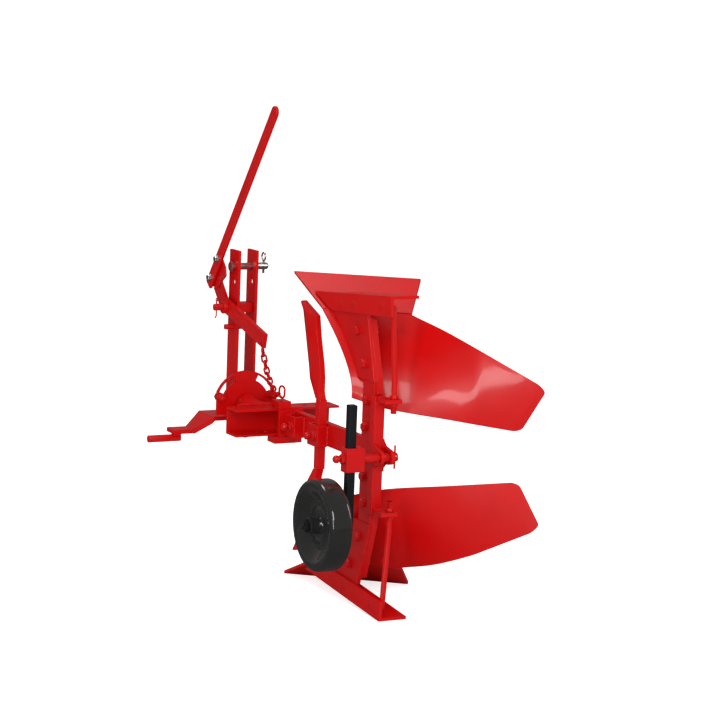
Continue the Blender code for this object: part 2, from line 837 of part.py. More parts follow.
def addBraces():
    for name, side in (("upper", 1), ("lower", -1)):
        rod = (braceX, braceY)
        lugHeights = sorted((side * braceLugInner, side * braceLugOuter))
        low = (standardLeftX + 0.006, rod[1] - 0.016, lugHeights[0])
        high = (rod[0] + 0.015, standardRearY - fit, lugHeights[1])
        lug = linkPiece(f"brace_lug_{name}", boxMesh("brace_lug", low, high), "red", turnoverAxis)
        cutRod(lug, f"brace_lug_{name}.bore", (*rod, side * 0.12), (*rod, side * 0.17), braceRadius + fit, 16)
        foot = (landsideLeftX + landsideThickness + fit + braceRadius, braceFootY, side * braceFootHeight)
        bend = (*rod, side * braceBendHeight)
        end = (*rod, side * braceEndHeight)
        data = tubeMesh("brace_rod", (foot, bend, end), braceRadius)
        brace = linkPiece(f"brace_rod_{name}", data, "red", turnoverAxis, True)
        outerNut = ("outer", braceLugOuter + fit, braceNutHeight)
        innerNut = ("inner", braceLugInner - fit, -braceNutHeight)
        for nutName, seat, reach in (outerNut, innerNut):
            start, end = (*rod, side * seat), (*rod, side * (seat + reach))
            joinRod(brace, f"brace_rod_{name}.{nutName}_nut", start, end, braceNutRadius, 6)


# ---- plough bodies ------------------------------------------------------------------------------
def sharePoint(along, chord, lift=0.0):
    """A point of the share's plane: along the edge, up the chord, and off the plane; heights run outwards."""
    skew, slope = math.radians(shareSkew), math.radians(shareSlope)
    edge = Vector((math.cos(skew), -math.sin(skew), 0))
    back = Vector((-math.sin(skew), -math.cos(skew), 0))
    up = Vector((0, 0, -1))
    chordWay = back * math.cos(slope) + up * math.sin(slope)
    offWay = -back * math.sin(slope) + up * math.cos(slope)
    tip = Vector((tipX, tipY, axisHeight - 0.0045))
    return tip + edge * along + chordWay * chord + offWay * lift


def addShare(name, side):
    outline = ((0, 0), (shareLength, 0), (shareBackEnd, shareChord), (shareBackStart, shareChord))
    thick = shareThickness / 2
    mesh = bmesh.new()
    rings = []
    for lift in (-thick, thick):
        ring = []
        for along, chord in outline:
            point = sharePoint(along, chord, lift)
            ring.append(mesh.verts.new((point.x, point.y, side * point.z)))
        rings.append(ring)
    mesh.faces.new(rings[0])
    mesh.faces.new(list(reversed(rings[1])))
    for i in range(4):
        j = (i + 1) % 4
        mesh.faces.new((rings[0][i], rings[1][i], rings[1][j], rings[0][j]))
    return linkPiece(name, meshFromBmesh(name, mesh), "red", turnoverAxis)


def throughPoints(points, t):
    """A smooth curve through the points, for t from 0 to 1."""
    spans = len(points) - 1
    span = min(int(t * spans), spans - 1)
    u = t * spans - span
    p1, p2 = Vector(points[span]), Vector(points[span + 1])
    p0 = Vector(points[span - 1]) if span > 0 else p1 * 2 - p2
    p3 = Vector(points[span + 2]) if span < spans - 1 else p2 * 2 - p1
    a = (p3 - p0 + (p1 - p2) * 3) * u**3
    b = (p0 * 2 - p1 * 5 + p2 * 4 - p3) * u**2
    return p1 + (a + b + (p2 - p0) * u) / 2


def moldPoint(s, v):
    """A point of the moldboard's middle surface: s from shin to tail, v from the share's seam to the top."""
    seamStart = sharePoint(shareBackStart, shareChord + moldSeam)
    seamEnd = sharePoint(shareBackEnd, shareChord + moldSeam)
    if s < seamShare:
        bottom = seamStart.lerp(seamEnd, s / seamShare)
    else:
        bottom = throughPoints([seamEnd, *moldTail], (s - seamShare) / (1 - seamShare))
    top = throughPoints(moldTop, s)
    point = bottom.lerp(top, v)
    hollow = moldHollow * (1 - s) ** 1.2 * 4 * v * (1 - v)
    return point + Vector((0, -0.97, -0.24)) * hollow


def tailSpan(s):
    """How far the tail's rounded corners pull the edges in, as a share of v at each edge."""
    if s < 1 - tailRound:
        return 0.0
    u = (s - (1 - tailRound)) / tailRound
    return 0.12 * (1 - math.sqrt(max(0.0, 1 - u * u)))


def addMoldboard(name, side):
    mesh = bmesh.new()
    grid = []
    for i in range(moldColumns + 1):
        s = i / moldColumns
        if i > moldColumns - 6:
            s = 1 - tailRound * (1 - math.sin(math.pi / 2 * (i - moldColumns + 6) / 6))
        inset = tailSpan(s)
        column = []
        for j in range(moldRows + 1):
            v = inset + (1 - 2 * inset) * j / moldRows
            point = moldPoint(s, v)
            column.append(mesh.verts.new((point.x, point.y, side * point.z)))
        grid.append(column)
    for i in range(moldColumns):
        for j in range(moldRows):
            corners = (grid[i][j], grid[i + 1][j], grid[i + 1][j + 1], grid[i][j + 1])
            mesh.faces.new(corners if side > 0 else tuple(reversed(corners)))
    data = bpy.data.meshes.new(name)
    mesh.to_mesh(data)
    mesh.free()
    board = linkPiece(name, data, "red", turnoverAxis, True)
    solid = board.modifiers.new("thickness", "SOLIDIFY")
    solid.thickness = moldboardThickness
    solid.offset = 0
    solid.use_even_offset = True


def moldLineAt(x, steps=12):
    """The (y, height) points where the moldboard's middle surface crosses a plane of constant x."""
    points = []
    for step in range(steps + 1):
        v = 0.02 + 0.96 * step / steps
        low, high = 0.0, 0.6
        for _ in range(30):
            middle = (low + high) / 2
            if moldPoint(middle, v).x < x:
                low = middle
            else:
                high = middle
        point = moldPoint(low, v)
        points.append((point.y, point.z))
    return points


def addFrog(name, side):
    """The plate that carries share, moldboard and landside; its front edge follows the moldboard's back."""
    back = moldboardThickness / math.sqrt(2) + frogSetback
    foot = legPlateHalfHeight + fit
    shin = moldLineAt(legPlateX + legPlateThickness)
    front = [(y - back, z) for y, z in shin if foot < z < frogFrontTop]
    outline = [(front[0][0] - 0.012, frogTop)] + front
    outline += [(front[-1][0] - 0.004, foot), (legPlateRearY, foot)]
    outline += [(legPlateRearY + 0.005, foot + 0.012), (frogRearTopY, frogTop)]
    centreX = legPlateX + legPlateThickness / 2
    data = plateMesh(name, mirrored(outline, side), legPlateThickness, acrossX(centreX))
    linkPiece(name, data, "red", turnoverAxis)


def addLandside(name, side):
    """An angle iron: its web is the left face, and its flange slides on the furrow's floor."""
    web = [landsideFront, landsideHeel, landsideHeelTop, landsideFrontTop]
    centreX = landsideLeftX + landsideThickness / 2
    data = plateMesh(name, mirrored(web, side), landsideThickness, acrossX(centreX))
    piece = linkPiece(name, data, "red", turnoverAxis)
    slope = (landsideHeel[1] - landsideFront[1]) / (landsideHeel[0] - landsideFront[0])
    startY = landsideFlangeStartY
    startHeight = landsideHeel[1] + slope * (startY - landsideHeel[0])
    flange = [
        (startY, startHeight),
        landsideHeel,
        (landsideHeel[0], landsideHeel[1] - landsideThickness),
        (startY, startHeight - landsideThickness),
    ]
    flangeCentre = landsideLeftX + landsideFlange / 2 + 0.001
    data = plateMesh(name + ".flange", mirrored(flange, side), landsideFlange - 0.002, acrossX(flangeCentre))
    joinMesh(piece, name + ".flange", data)


# ---- depth wheel --------------------------------------------------------------------------------
def addWheelArm():
    clampLeft, clampRight = wheelLegX - 0.018, wheelLegX + 0.034
    start, end = (clampRight + fit, wheelPivotY, 0), (wheelPivotEndX, wheelPivotY, 0)
    data = rodMesh("wheel_pivot_shaft", start, end, wheelPivotRadius)
    pivot = linkPiece("wheel_pivot_shaft", data, "red", wheelPivot, True)
    pinX = wheelPivotEndX - 0.005
    start, end = (pinX, wheelPivotY, -0.03), (pinX, wheelPivotY, 0.03)
    cutRod(pivot, "wheel_pivot_shaft.cross_hole", start, end, 0.0030, 12)
    linkPiece(
        "wheel_pivot_cotter",
        rodMesh("wheel_pivot_cotter", (pinX, wheelPivotY, -0.030), (pinX, wheelPivotY, 0.030), 0.0026, 12),
        "red",
        wheelPivot,
        True,
    )
    low = (clampLeft, wheelPivotY - 0.0175, -clampHalfHeight)
    high = (clampRight, wheelPivotY + 0.0175, clampHalfHeight)
    clamp = linkPiece("wheel_clamp", boxMesh("wheel_clamp", low, high), "red", wheelPivot)
    half = wheelLegSide / 2 + runningFit
    low = (wheelLegX - half, wheelPivotY - half, -0.05)
    high = (wheelLegX + half, wheelPivotY + half, 0.05)
    boolean(clamp, linkHelper("wheel_clamp.hole", boxMesh("hole", low, high)))
    addLockBolt("wheel_lock_bolt", (clampLeft - fit, wheelPivotY, 0.003), (-1, 0, 0), wheelPivot)


def addWheelLeg():
    half = wheelLegSide / 2
    low = (wheelLegX - half, wheelPivotY - half, -wheelHubDrop - 0.022)
    high = (wheelLegX + half, wheelPivotY + half, wheelLegTop)
    linkPiece("wheel_leg", boxMesh("wheel_leg", low, high), "black", wheelPivot)
    start = (wheelLegX - half - fit, wheelPivotY, -wheelHubDrop)
    end = (wheelLeftX - 0.012, wheelPivotY, -wheelHubDrop)
    linkPiece("wheel_axle", rodMesh("wheel_axle", start, end, wheelAxleRadius), "black", wheelPivot, True)


def addWheel():
    """A pressed steel wheel: a broad rim, a dished left side and a hub on the axle."""
    half = wheelWidth / 2
    skin, hub = wheelSkin, wheelHubRadius
    profile = [
        (hub, half + 0.010),
        (hub, half - 0.020),
        (0.060, half - 0.022),
        (0.078, half - 0.004),
        (0.088, half),
        (wheelRadius - 0.010, half),
        (wheelRadius - 0.003, half - 0.003),
        (wheelRadius, half - 0.010),
        (wheelRadius, -half + 0.010),
        (wheelRadius - 0.003, -half + 0.003),
        (wheelRadius - 0.010, -half),
        (wheelRadius - 0.016, -half),
        (wheelRadius - 0.016, -half + skin),
        (wheelRadius - 0.010, -half + skin),
        (wheelRadius - skin, -half + 0.011),
        (wheelRadius - skin, half - 0.011),
        (wheelRadius - 0.010, half - skin),
        (0.090, half - skin),
        (0.080, half - skin - 0.004),
        (0.0615, half - skin - 0.022),
        (hub, half - skin - 0.020),
        (hub, -half - 0.002),
        (wheelAxleRadius + runningFit, -half - 0.002),
        (wheelAxleRadius + runningFit, half + 0.010),
    ]
    mesh = bmesh.new()
    verts = [mesh.verts.new((radius, 0, along)) for radius, along in profile]
    for i in range(len(verts)):
        mesh.edges.new((verts[i], verts[(i + 1) % len(verts)]))
    data = bpy.data.meshes.new("wheel")
    mesh.to_mesh(data)
    mesh.free()
    wheel = linkPiece("wheel", data, "black", wheelAxle)
    wheel.location = (0, 0, 0)
    wheel.rotation_euler = (0, -math.pi / 2, 0)
    screw = wheel.modifiers.new("turned", "SCREW")
    screw.axis = "Z"
    screw.steps = 48
    screw.render_steps = 48
    screw.use_merge_vertices = True
    screw.merge_threshold = 0.00001
    screw.use_normal_calculate = True
    screw.use_smooth_shade = True


# ---- assembly -----------------------------------------------------------------------------------
clearScene()
partCollection = addCollection("moldboard_plough", False)
helperCollection = addCollection("cutters", True)
ploughBase = bpy.data.objects.new("plough_base", None)
partCollection.objects.link(ploughBase)
headstockBase = addEmpty("headstock_base", 0, 0, 0)
turnoverAxis = addEmpty("turnover_axis", 0, slideFrontY, 0)
leverPivot = addEmpty("lever_pivot", leverX, leverPivotY, leverPivotHeight)
wheelPivot = addEmpty("wheel_pivot", wheelLegX, wheelPivotY, 0)
wheelAxle = addEmpty("wheel_axle_centre", wheelLeftX + wheelWidth / 2, wheelPivotY, -wheelHubDrop)

addMasts()
addMastCrosspiece()
addTopLinkPin()
addMastStopPin()
addCrossBar()
addLinkPins()
addTurnoverDisc()
addSpindleTube()
addStopBolts()
addLeverCrank()
addLeverPin()
addLeverBracket()
addLeverHandle()
addLiftChain()
addCrossSlide()
addSpindle()
addSlideClamp()
addBeam()
addStrap("spare_socket", spareStrapRearY)
addStrap("jointer_socket", jointerStrapRearY)
addJointer()
addStandard()
addFrogRibs()
addPivotLugs()
addBraces()
for bodyName, bodySide in (("upper", 1), ("lower", -1)):
    addShare(f"share_{bodyName}", bodySide)
    addMoldboard(f"moldboard_{bodyName}", bodySide)
    addFrog(f"frog_plate_{bodyName}", bodySide)
    addLandside(f"landside_{bodyName}", bodySide)
addWheelArm()
addWheelLeg()
addWheel()
standOverCentre(ploughBase)
bpy.context.view_layer.update()
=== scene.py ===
import json
import math
import random

import bmesh
import bpy
from mathutils import Matrix, Vector


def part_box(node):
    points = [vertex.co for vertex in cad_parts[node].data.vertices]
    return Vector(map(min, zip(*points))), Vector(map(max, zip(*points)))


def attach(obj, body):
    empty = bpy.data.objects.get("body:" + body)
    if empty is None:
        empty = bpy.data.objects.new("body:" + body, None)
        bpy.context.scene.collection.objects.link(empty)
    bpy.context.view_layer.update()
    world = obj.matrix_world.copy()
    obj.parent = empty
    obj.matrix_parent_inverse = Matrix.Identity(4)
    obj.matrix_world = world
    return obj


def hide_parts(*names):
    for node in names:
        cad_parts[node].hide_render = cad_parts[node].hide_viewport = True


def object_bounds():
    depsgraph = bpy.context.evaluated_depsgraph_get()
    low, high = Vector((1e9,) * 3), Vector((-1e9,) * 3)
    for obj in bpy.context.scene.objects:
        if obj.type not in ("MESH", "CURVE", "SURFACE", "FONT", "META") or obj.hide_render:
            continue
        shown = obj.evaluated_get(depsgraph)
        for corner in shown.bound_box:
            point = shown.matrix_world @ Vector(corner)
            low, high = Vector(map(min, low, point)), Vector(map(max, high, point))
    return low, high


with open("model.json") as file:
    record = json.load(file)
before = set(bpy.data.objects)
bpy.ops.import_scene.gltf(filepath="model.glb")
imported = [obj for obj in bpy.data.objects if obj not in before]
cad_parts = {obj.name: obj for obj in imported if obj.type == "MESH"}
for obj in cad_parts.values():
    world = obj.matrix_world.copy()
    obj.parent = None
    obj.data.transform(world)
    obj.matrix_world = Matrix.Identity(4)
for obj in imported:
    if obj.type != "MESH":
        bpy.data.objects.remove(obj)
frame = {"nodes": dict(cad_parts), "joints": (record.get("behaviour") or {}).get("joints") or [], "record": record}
cadLow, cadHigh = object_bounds()
joints = {joint["name"]: joint for joint in frame["joints"]}
axisPoint = Vector(joints["turnover"]["pos_m"])
wheelPoint = Vector(joints["wheel_spin"]["pos_m"])
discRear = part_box("turnover_disc")[0].y
print("frame loaded")


# Materials: one shared group for the paint film, and the shader in each material
filmLook = {
    "broadScale": 7,
    "broadDetail": 4,
    "peelScale": 210,
    "peelDetail": 2,
    "runScale": 22,
    "darkest": 0.93,
    "lightest": 1.05,
    "roughnessSpread": 0.10,
    "runHeight": 3.0,
    "bumpDistance": 0.0004,
    "specular": 0.32,
    "coatRoughness": 0.08,
}


# Gives a slightly uneven colour, a roughness and a normal for sprayed gloss paint.
def paintFilmGroup():
    group = bpy.data.node_groups.new("paintFilm", "ShaderNodeTree")
    face = group.interface
    sockets = (
        ("Colour", "INPUT", "NodeSocketColor"),
        ("Roughness", "INPUT", "NodeSocketFloat"),
        ("Peel", "INPUT", "NodeSocketFloat"),
        ("Colour", "OUTPUT", "NodeSocketColor"),
        ("Roughness", "OUTPUT", "NodeSocketFloat"),
        ("Normal", "OUTPUT", "NodeSocketVector"),
    )
    for name, way, kind in sockets:
        face.new_socket(name, in_out=way, socket_type=kind)
    nodes, links = group.nodes, group.links
    given = nodes.new("NodeGroupInput")
    result = nodes.new("NodeGroupOutput")
    place = nodes.new("ShaderNodeTexCoord")
    broad = nodes.new("ShaderNodeTexNoise")
    broad.inputs["Scale"].default_value = filmLook["broadScale"]
    broad.inputs["Detail"].default_value = filmLook["broadDetail"]
    peel = nodes.new("ShaderNodeTexNoise")
    peel.inputs["Scale"].default_value = filmLook["peelScale"]
    peel.inputs["Detail"].default_value = filmLook["peelDetail"]
    runs = nodes.new("ShaderNodeTexNoise")
    runs.inputs["Scale"].default_value = filmLook["runScale"]
    for noise in (broad, peel, runs):
        links.new(place.outputs["Object"], noise.inputs["Vector"])
    shade = nodes.new("ShaderNodeMapRange")
    shade.inputs["From Min"].default_value = 0.3
    shade.inputs["From Max"].default_value = 0.7
    shade.inputs["To Min"].default_value = filmLook["darkest"]
    shade.inputs["To Max"].default_value = filmLook["lightest"]
    links.new(broad.outputs["Fac"], shade.inputs["Value"])
    colour = nodes.new("ShaderNodeVectorMath")
    colour.operation = "SCALE"
    links.new(given.outputs["Colour"], colour.inputs[0])
    links.new(shade.outputs["Result"], colour.inputs["Scale"])
    links.new(colour.outputs["Vector"], result.inputs["Colour"])
    spread = nodes.new("ShaderNodeMath")
    spread.operation = "MULTIPLY_ADD"
    spread.inputs[1].default_value = filmLook["roughnessSpread"]
    links.new(runs.outputs["Fac"], spread.inputs[0])
    links.new(given.outputs["Roughness"], spread.inputs[2])
    links.new(spread.outputs["Value"], result.inputs["Roughness"])
    height = nodes.new("ShaderNodeMath")
    height.operation = "MULTIPLY_ADD"
    height.inputs[1].default_value = filmLook["runHeight"]
    links.new(runs.outputs["Fac"], height.inputs[0])
    links.new(peel.outputs["Fac"], height.inputs[2])
    bump = nodes.new("ShaderNodeBump")
    bump.inputs["Distance"].default_value = filmLook["bumpDistance"]
    links.new(given.outputs["Peel"], bump.inputs["Strength"])
    links.new(height.outputs["Value"], bump.inputs["Height"])
    links.new(bump.outputs["Normal"], result.inputs["Normal"])
    return group


# Colour, roughness, strength of the orange peel, and weight of the clear coat.
paints = {
    "redFrame": {"colour": (0.60, 0.0004, 0.0006), "roughness": 0.30, "peel": 0.34, "coat": 0.16},
    "redTillage": {"colour": (0.64, 0.0004, 0.0006), "roughness": 0.27, "peel": 0.20, "coat": 0.22},
    "redFittings": {"colour": (0.58, 0.0004, 0.0006), "roughness": 0.28, "peel": 0.50, "coat": 0.26},
    "blackGloss": {"colour": (0.017, 0.0165, 0.016), "roughness": 0.09, "peel": 0.02, "coat": 1.0},
    "blackSatin": {"colour": (0.008, 0.010, 0.012), "roughness": 0.36, "peel": 0.25, "coat": 0.0},
}


def paintMaterial(name):
    look = paints[name]
    material = bpy.data.materials.new(name)
    material.use_nodes = True
    nodes, links = material.node_tree.nodes, material.node_tree.links
    shader = nodes["Principled BSDF"]
    film = nodes.new("ShaderNodeGroup")
    film.node_tree = paintFilm
    film.inputs["Colour"].default_value = (*look["colour"], 1)
    film.inputs["Roughness"].default_value = look["roughness"]
    film.inputs["Peel"].default_value = look["peel"]
    links.new(film.outputs["Colour"], shader.inputs["Base Color"])
    links.new(film.outputs["Roughness"], shader.inputs["Roughness"])
    links.new(film.outputs["Normal"], shader.inputs["Normal"])
    shader.inputs["Specular IOR Level"].default_value = filmLook["specular"]
    shader.inputs["Coat Weight"].default_value = look["coat"]
    shader.inputs["Coat Roughness"].default_value = filmLook["coatRoughness"]
    return material


zincLook = {
    "grainScale": 160,
    "dark": (0.50, 0.50, 0.48, 1),
    "light": (0.80, 0.80, 0.77, 1),
    "smoothest": 0.22,
    "roughest": 0.42,
}


def zincMaterial():
    material = bpy.data.materials.new("zincPlate")
    material.use_nodes = True
    nodes, links = material.node_tree.nodes, material.node_tree.links
    shader = nodes["Principled BSDF"]
    shader.inputs["Metallic"].default_value = 1.0
    place = nodes.new("ShaderNodeTexCoord")
    grain = nodes.new("ShaderNodeTexNoise")
    grain.inputs["Scale"].default_value = zincLook["grainScale"]
    links.new(place.outputs["Object"], grain.inputs["Vector"])
    tone = nodes.new("ShaderNodeMix")
    tone.data_type = "RGBA"
    tone.inputs["A"].default_value = zincLook["dark"]
    tone.inputs["B"].default_value = zincLook["light"]
    links.new(grain.outputs["Fac"], tone.inputs["Factor"])
    links.new(tone.outputs["Result"], shader.inputs["Base Color"])
    rough = nodes.new("ShaderNodeMapRange")
    rough.inputs["To Min"].default_value = zincLook["smoothest"]
    rough.inputs["To Max"].default_value = zincLook["roughest"]
    links.new(grain.outputs["Fac"], rough.inputs["Value"])
    links.new(rough.outputs["Result"], shader.inputs["Roughness"])
    return material


paintFilm = paintFilmGroup()
slotMaterials = {
    "red_paint_frame": paintMaterial("redFrame"),
    "red_paint_tillage": paintMaterial("redTillage"),
    "red_paint_fittings": paintMaterial("redFittings"),
    "wheel_gloss_black": paintMaterial("blackGloss"),
    "leg_satin_black": paintMaterial("blackSatin"),
    "zinc_plate": zincMaterial(),
}
slotOfNode = {entry["node"]: entry["material_slot"] for entry in frame["record"]["subparts"]}
bodyOfNode = {
    node: body for body, members in frame["record"]["behaviour"]["bodies"].items() for node in members
}
print("materials made")


mastBeforeAxisPoint = 0.058  # from the turnover joint's point forward to the mast's zero
bevelLook = {"widen": 1.35, "segments": 2, "angle": 32}
cleanUp = {"merge": 0.00002, "flatAngle": 1}  # metres and degrees


# A place in the plough's own terms: from the turnover axis, with y from the mast.
def at(x, y, z):
    return Vector((axisPoint.x + x, axisPoint.y + mastBeforeAxisPoint + y, axisPoint.z + z))


def finishPiece(obj, body, slotName, sharp=38):
    obj.data.materials.clear()
    obj.data.materials.append(slotMaterials[slotName])
    obj.data.shade_smooth()
    obj.data.set_sharp_from_angle(angle=math.radians(sharp))
    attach(obj, body)
    return obj


def newPiece(name, mesh, body, slotName, sharp=38):
    bmesh.ops.recalc_face_normals(mesh, faces=mesh.faces)
    data = bpy.data.meshes.new(name)
    mesh.to_mesh(data)
    mesh.free()
    obj = bpy.data.objects.new(name, data)
    bpy.context.scene.collection.objects.link(obj)
    return finishPiece(obj, body, slotName, sharp)


def addBevel(obj, width):
    bevel = obj.modifiers.new("edges", "BEVEL")
    bevel.width = width * bevelLook["widen"]
    bevel.segments = bevelLook["segments"]
    bevel.limit_method = "ANGLE"
    bevel.angle_limit = math.radians(bevelLook["angle"])
    bevel.harden_normals = True
    return obj


# A copy of a CAD node with its edges rounded, shown in the node's place.
def dressNode(node, width, flat=True):
    mesh = bmesh.new()
    mesh.from_mesh(frame["nodes"][node].data)
    bmesh.ops.remove_doubles(mesh, verts=mesh.verts, dist=cleanUp["merge"])
    if flat:
        flatAngle = math.radians(cleanUp["flatAngle"])
        bmesh.ops.dissolve_limit(mesh, angle_limit=flatAngle, verts=mesh.verts, edges=mesh.edges)
    obj = newPiece(f"look_{node}", mesh, bodyOfNode[node], slotOfNode[node])
    addBevel(obj, width)
    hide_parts(node)
    return obj


# A round bar swept along the points.
def sweep(mesh, points, radii, sides=10, closed=False):
    count = len(points)
    rings = []
    normal = None
    for i, point in enumerate(points):
        if closed:
            way = points[(i + 1) % count] - points[i - 1]
        else:
            way = points[min(i + 1, count - 1)] - points[max(i - 1, 0)]
        way.normalize()
        if normal is None:
            normal = way.orthogonal().normalized()
        normal = (normal - way * normal.dot(way)).normalized()
        side = way.cross(normal)
        radius = radii[i] if isinstance(radii, (list, tuple)) else radii
        ring = []
        for j in range(sides):
            angle = 2 * math.pi * j / sides
            out = normal * math.cos(angle) + side * math.sin(angle)
            ring.append(mesh.verts.new(point + out * radius))
        rings.append(ring)
    spans = count if closed else count - 1
    for i in range(spans):
        a, b = rings[i], rings[(i + 1) % count]
        for j in range(sides):
            k = (j + 1) % sides
            mesh.faces.new((a[j], a[k], b[k], b[j]))
    if not closed:
        mesh.faces.new(list(reversed(rings[0])))
        mesh.faces.new(rings[-1])


def turnTo(axis):
    return Vector((0, 0, 1)).rotation_difference(Vector(axis)).to_matrix().to_4x4()


# A turned solid: profile is (radius, along) from the axis at one end to the axis at the other.
def lathe(mesh, centre, axis, profile, sides=48):
    place = Matrix.Translation(centre) @ turnTo(axis)
    rings = []
    for radius, along in profile:
        if radius < 1e-6:
            rings.append([mesh.verts.new(place @ Vector((0, 0, along)))])
            continue
        ring = []
        for j in range(sides):
            angle = 2 * math.pi * j / sides
            spot = Vector((radius * math.cos(angle), radius * math.sin(angle), along))
            ring.append(mesh.verts.new(place @ spot))
        rings.append(ring)
    for a, b in zip(rings, rings[1:]):
        for j in range(sides):
            k = (j + 1) % sides
            if len(a) == 1:
                mesh.faces.new((a[0], b[k], b[j]))
            elif len(b) == 1:
                mesh.faces.new((a[j], a[k], b[0]))
            else:
                mesh.faces.new((a[j], a[k], b[k], b[j]))


washerLook = {"thickness": 0.002, "wall": 0.0014, "chamfer": 0.0006, "sides": 28}
hexLook = {"flatShare": 0.82, "topShare": 0.9}
threadLook = {"pitch": 0.0015, "coreShare": 0.88, "tipShare": 0.8, "sides": 20}
weldLook = {"step": 0.0022, "ripple": 0.16, "rippleTurn": 2.4, "wave": 0.07, "waveTurn": 0.9, "sides": 8}


# A hexagon head or nut with chamfered corners, on a washer if one is given, with thread past it.
def hexHead(mesh, centre, axis, across, height, washer=0.0, thread=0.0, threadRadius=0.0):
    axis = Vector(axis).normalized()
    corner = across / math.sqrt(3)
    base = Vector(centre)
    if washer:
        thickness = washerLook["thickness"]
        profile = [(0, 0), (washer, 0), (washer, washerLook["wall"])]
        profile += [(washer - washerLook["chamfer"], thickness), (0, thickness)]
        lathe(mesh, base, axis, profile, washerLook["sides"])
        base = base + axis * thickness
    levels = ((corner, 0.0), (corner, height * hexLook["flatShare"]), (corner * hexLook["topShare"], height))
    place = Matrix.Translation(base) @ turnTo(axis)
    rings = []
    for radius, along in levels:
        rings.append([
            mesh.verts.new(place @ Vector((radius * math.cos(a), radius * math.sin(a), along)))
            for a in [math.pi * j / 3 for j in range(6)]
        ])
    for a, b in zip(rings, rings[1:]):
        for j in range(6):
            mesh.faces.new((a[j], a[(j + 1) % 6], b[(j + 1) % 6], b[j]))
    mesh.faces.new(list(reversed(rings[0])))
    mesh.faces.new(rings[-1])
    if thread:
        addThread(mesh, base + axis * height, axis, threadRadius, thread)


# The ridges of a thread, as rings, on a round core.
def addThread(mesh, start, axis, radius, length):
    core = radius * threadLook["coreShare"]
    profile = [(0, 0), (core, 0)]
    turns = max(2, int(length / threadLook["pitch"]))
    for turn in range(turns):
        low = length * turn / turns
        profile.append((core, low + length * 0.1 / turns))
        profile.append((radius, low + length * 0.5 / turns))
        profile.append((core, low + length * 0.9 / turns))
    profile += [(radius * threadLook["tipShare"], length), (0, length)]
    lathe(mesh, Vector(start), axis, profile, threadLook["sides"])


# A rippled bead of weld along straight runs between the points.
def weldBead(mesh, points, radius):
    path, radii = [], []
    for start, end in zip(points, points[1:]):
        steps = max(3, int((end - start).length / weldLook["step"]))
        for step in range(steps):
            path.append(start.lerp(end, step / steps))
    path.append(points[-1])
    for i in range(len(path)):
        ripple = weldLook["ripple"] * math.sin(i * weldLook["rippleTurn"])
        wave = weldLook["wave"] * math.sin(i * weldLook["waveTurn"])
        radii.append(radius * (1 + ripple + wave))
    sweep(mesh, path, radii, weldLook["sides"])


# A drop of weld spatter.
def addDrop(mesh, place, radius):
    bmesh.ops.create_icosphere(mesh, subdivisions=1, radius=radius, matrix=Matrix.Translation(place))


# Every CAD piece that only needs rounded edges, with the width of its edges in metres.
edgeWidths = {
    "mast_left": 0.0016,
    "mast_right": 0.0016,
    "mast_crosspiece": 0.0016,
    "cross_bar": 0.0026,
    "turnover_disc": 0.0014,
    "spindle_tube": 0.0010,
    "turnover_spindle": 0.0014,
    "cross_slide": 0.0022,
    "slide_clamp": 0.0016,
    "main_beam": 0.0022,
    "leg_plate": 0.0014,
    "standard": 0.0018,
    "pivot_lug_left": 0.0012,
    "pivot_lug_right": 0.0012,
    "brace_lug_upper": 0.0016,
    "brace_lug_lower": 0.0016,
    "spare_socket": 0.0018,
    "jointer_socket": 0.0018,
    "jointer_bar": 0.0014,
    "frog_plate_upper": 0.0012,
    "frog_plate_lower": 0.0012,
    "frog_rib_upper": 0.0016,
    "frog_rib_lower": 0.0016,
    "landside_upper": 0.0014,
    "landside_lower": 0.0014,
    "share_upper": 0.0010,
    "share_lower": 0.0010,
    "wheel_clamp": 0.0022,
    "wheel_leg": 0.0020,
    "lever_bracket": 0.0010,
    "lever_handle": 0.0022,
}
roundWidths = {
    "lower_link_pin_left": 0.0020,
    "lower_link_pin_right": 0.0020,
    "mast_stop_pin": 0.0016,
    "lever_pivot_pin": 0.0016,
    "lever_crank": 0.0012,
    "wheel_pivot_shaft": 0.0014,
    "wheel_pivot_cotter": 0.0008,
    "top_link_lynch_pin": 0.0006,
    "brace_rod_upper": 0.0008,
    "brace_rod_lower": 0.0008,
}


def addRoundedPieces():
    for node, width in edgeWidths.items():
        dressNode(node, width)
    for node, width in roundWidths.items():
        dressNode(node, width, flat=False)


def addMoldboards():
    for side in ("upper", "lower"):
        board = dressNode(f"moldboard_{side}", 0.0010, flat=False)
        board.data.set_sharp_from_angle(angle=math.radians(30))


# Jointer knives: forged blades with a lengthwise crease
knifeLook = {
    "stations": (
        # front y, rear y, front height, rear height, share of blade form
        (-0.3583, -0.3815, 0.0933, 0.0933, 0.0),
        (-0.3395, -0.3720, 0.1130, 0.1150, 0.25),
        (-0.3100, -0.3720, 0.1400, 0.1500, 0.85),
        (-0.2990, -0.3650, 0.1750, 0.1860, 1.0),
        (-0.2700, -0.3440, 0.2660, 0.2500, 1.0),
        (-0.2540, -0.3300, 0.3150, 0.3090, 1.0),
        (-0.2460, -0.2620, 0.3400, 0.3335, 1.0),
    ),
    "bladeShift": 0.006,  # how far the crease lies behind the blade's middle
    "edgeBack": 0.30,  # how far the edges lie back from the crease, as a share of the thickness
    "shankRidge": 0.002,
    "pastLeft": 0.001,
    "shortOfRight": 0.003,
    "roundEdge": 0.0007,
    "roundAngle": 16,
    "sharpAngle": 14,
}


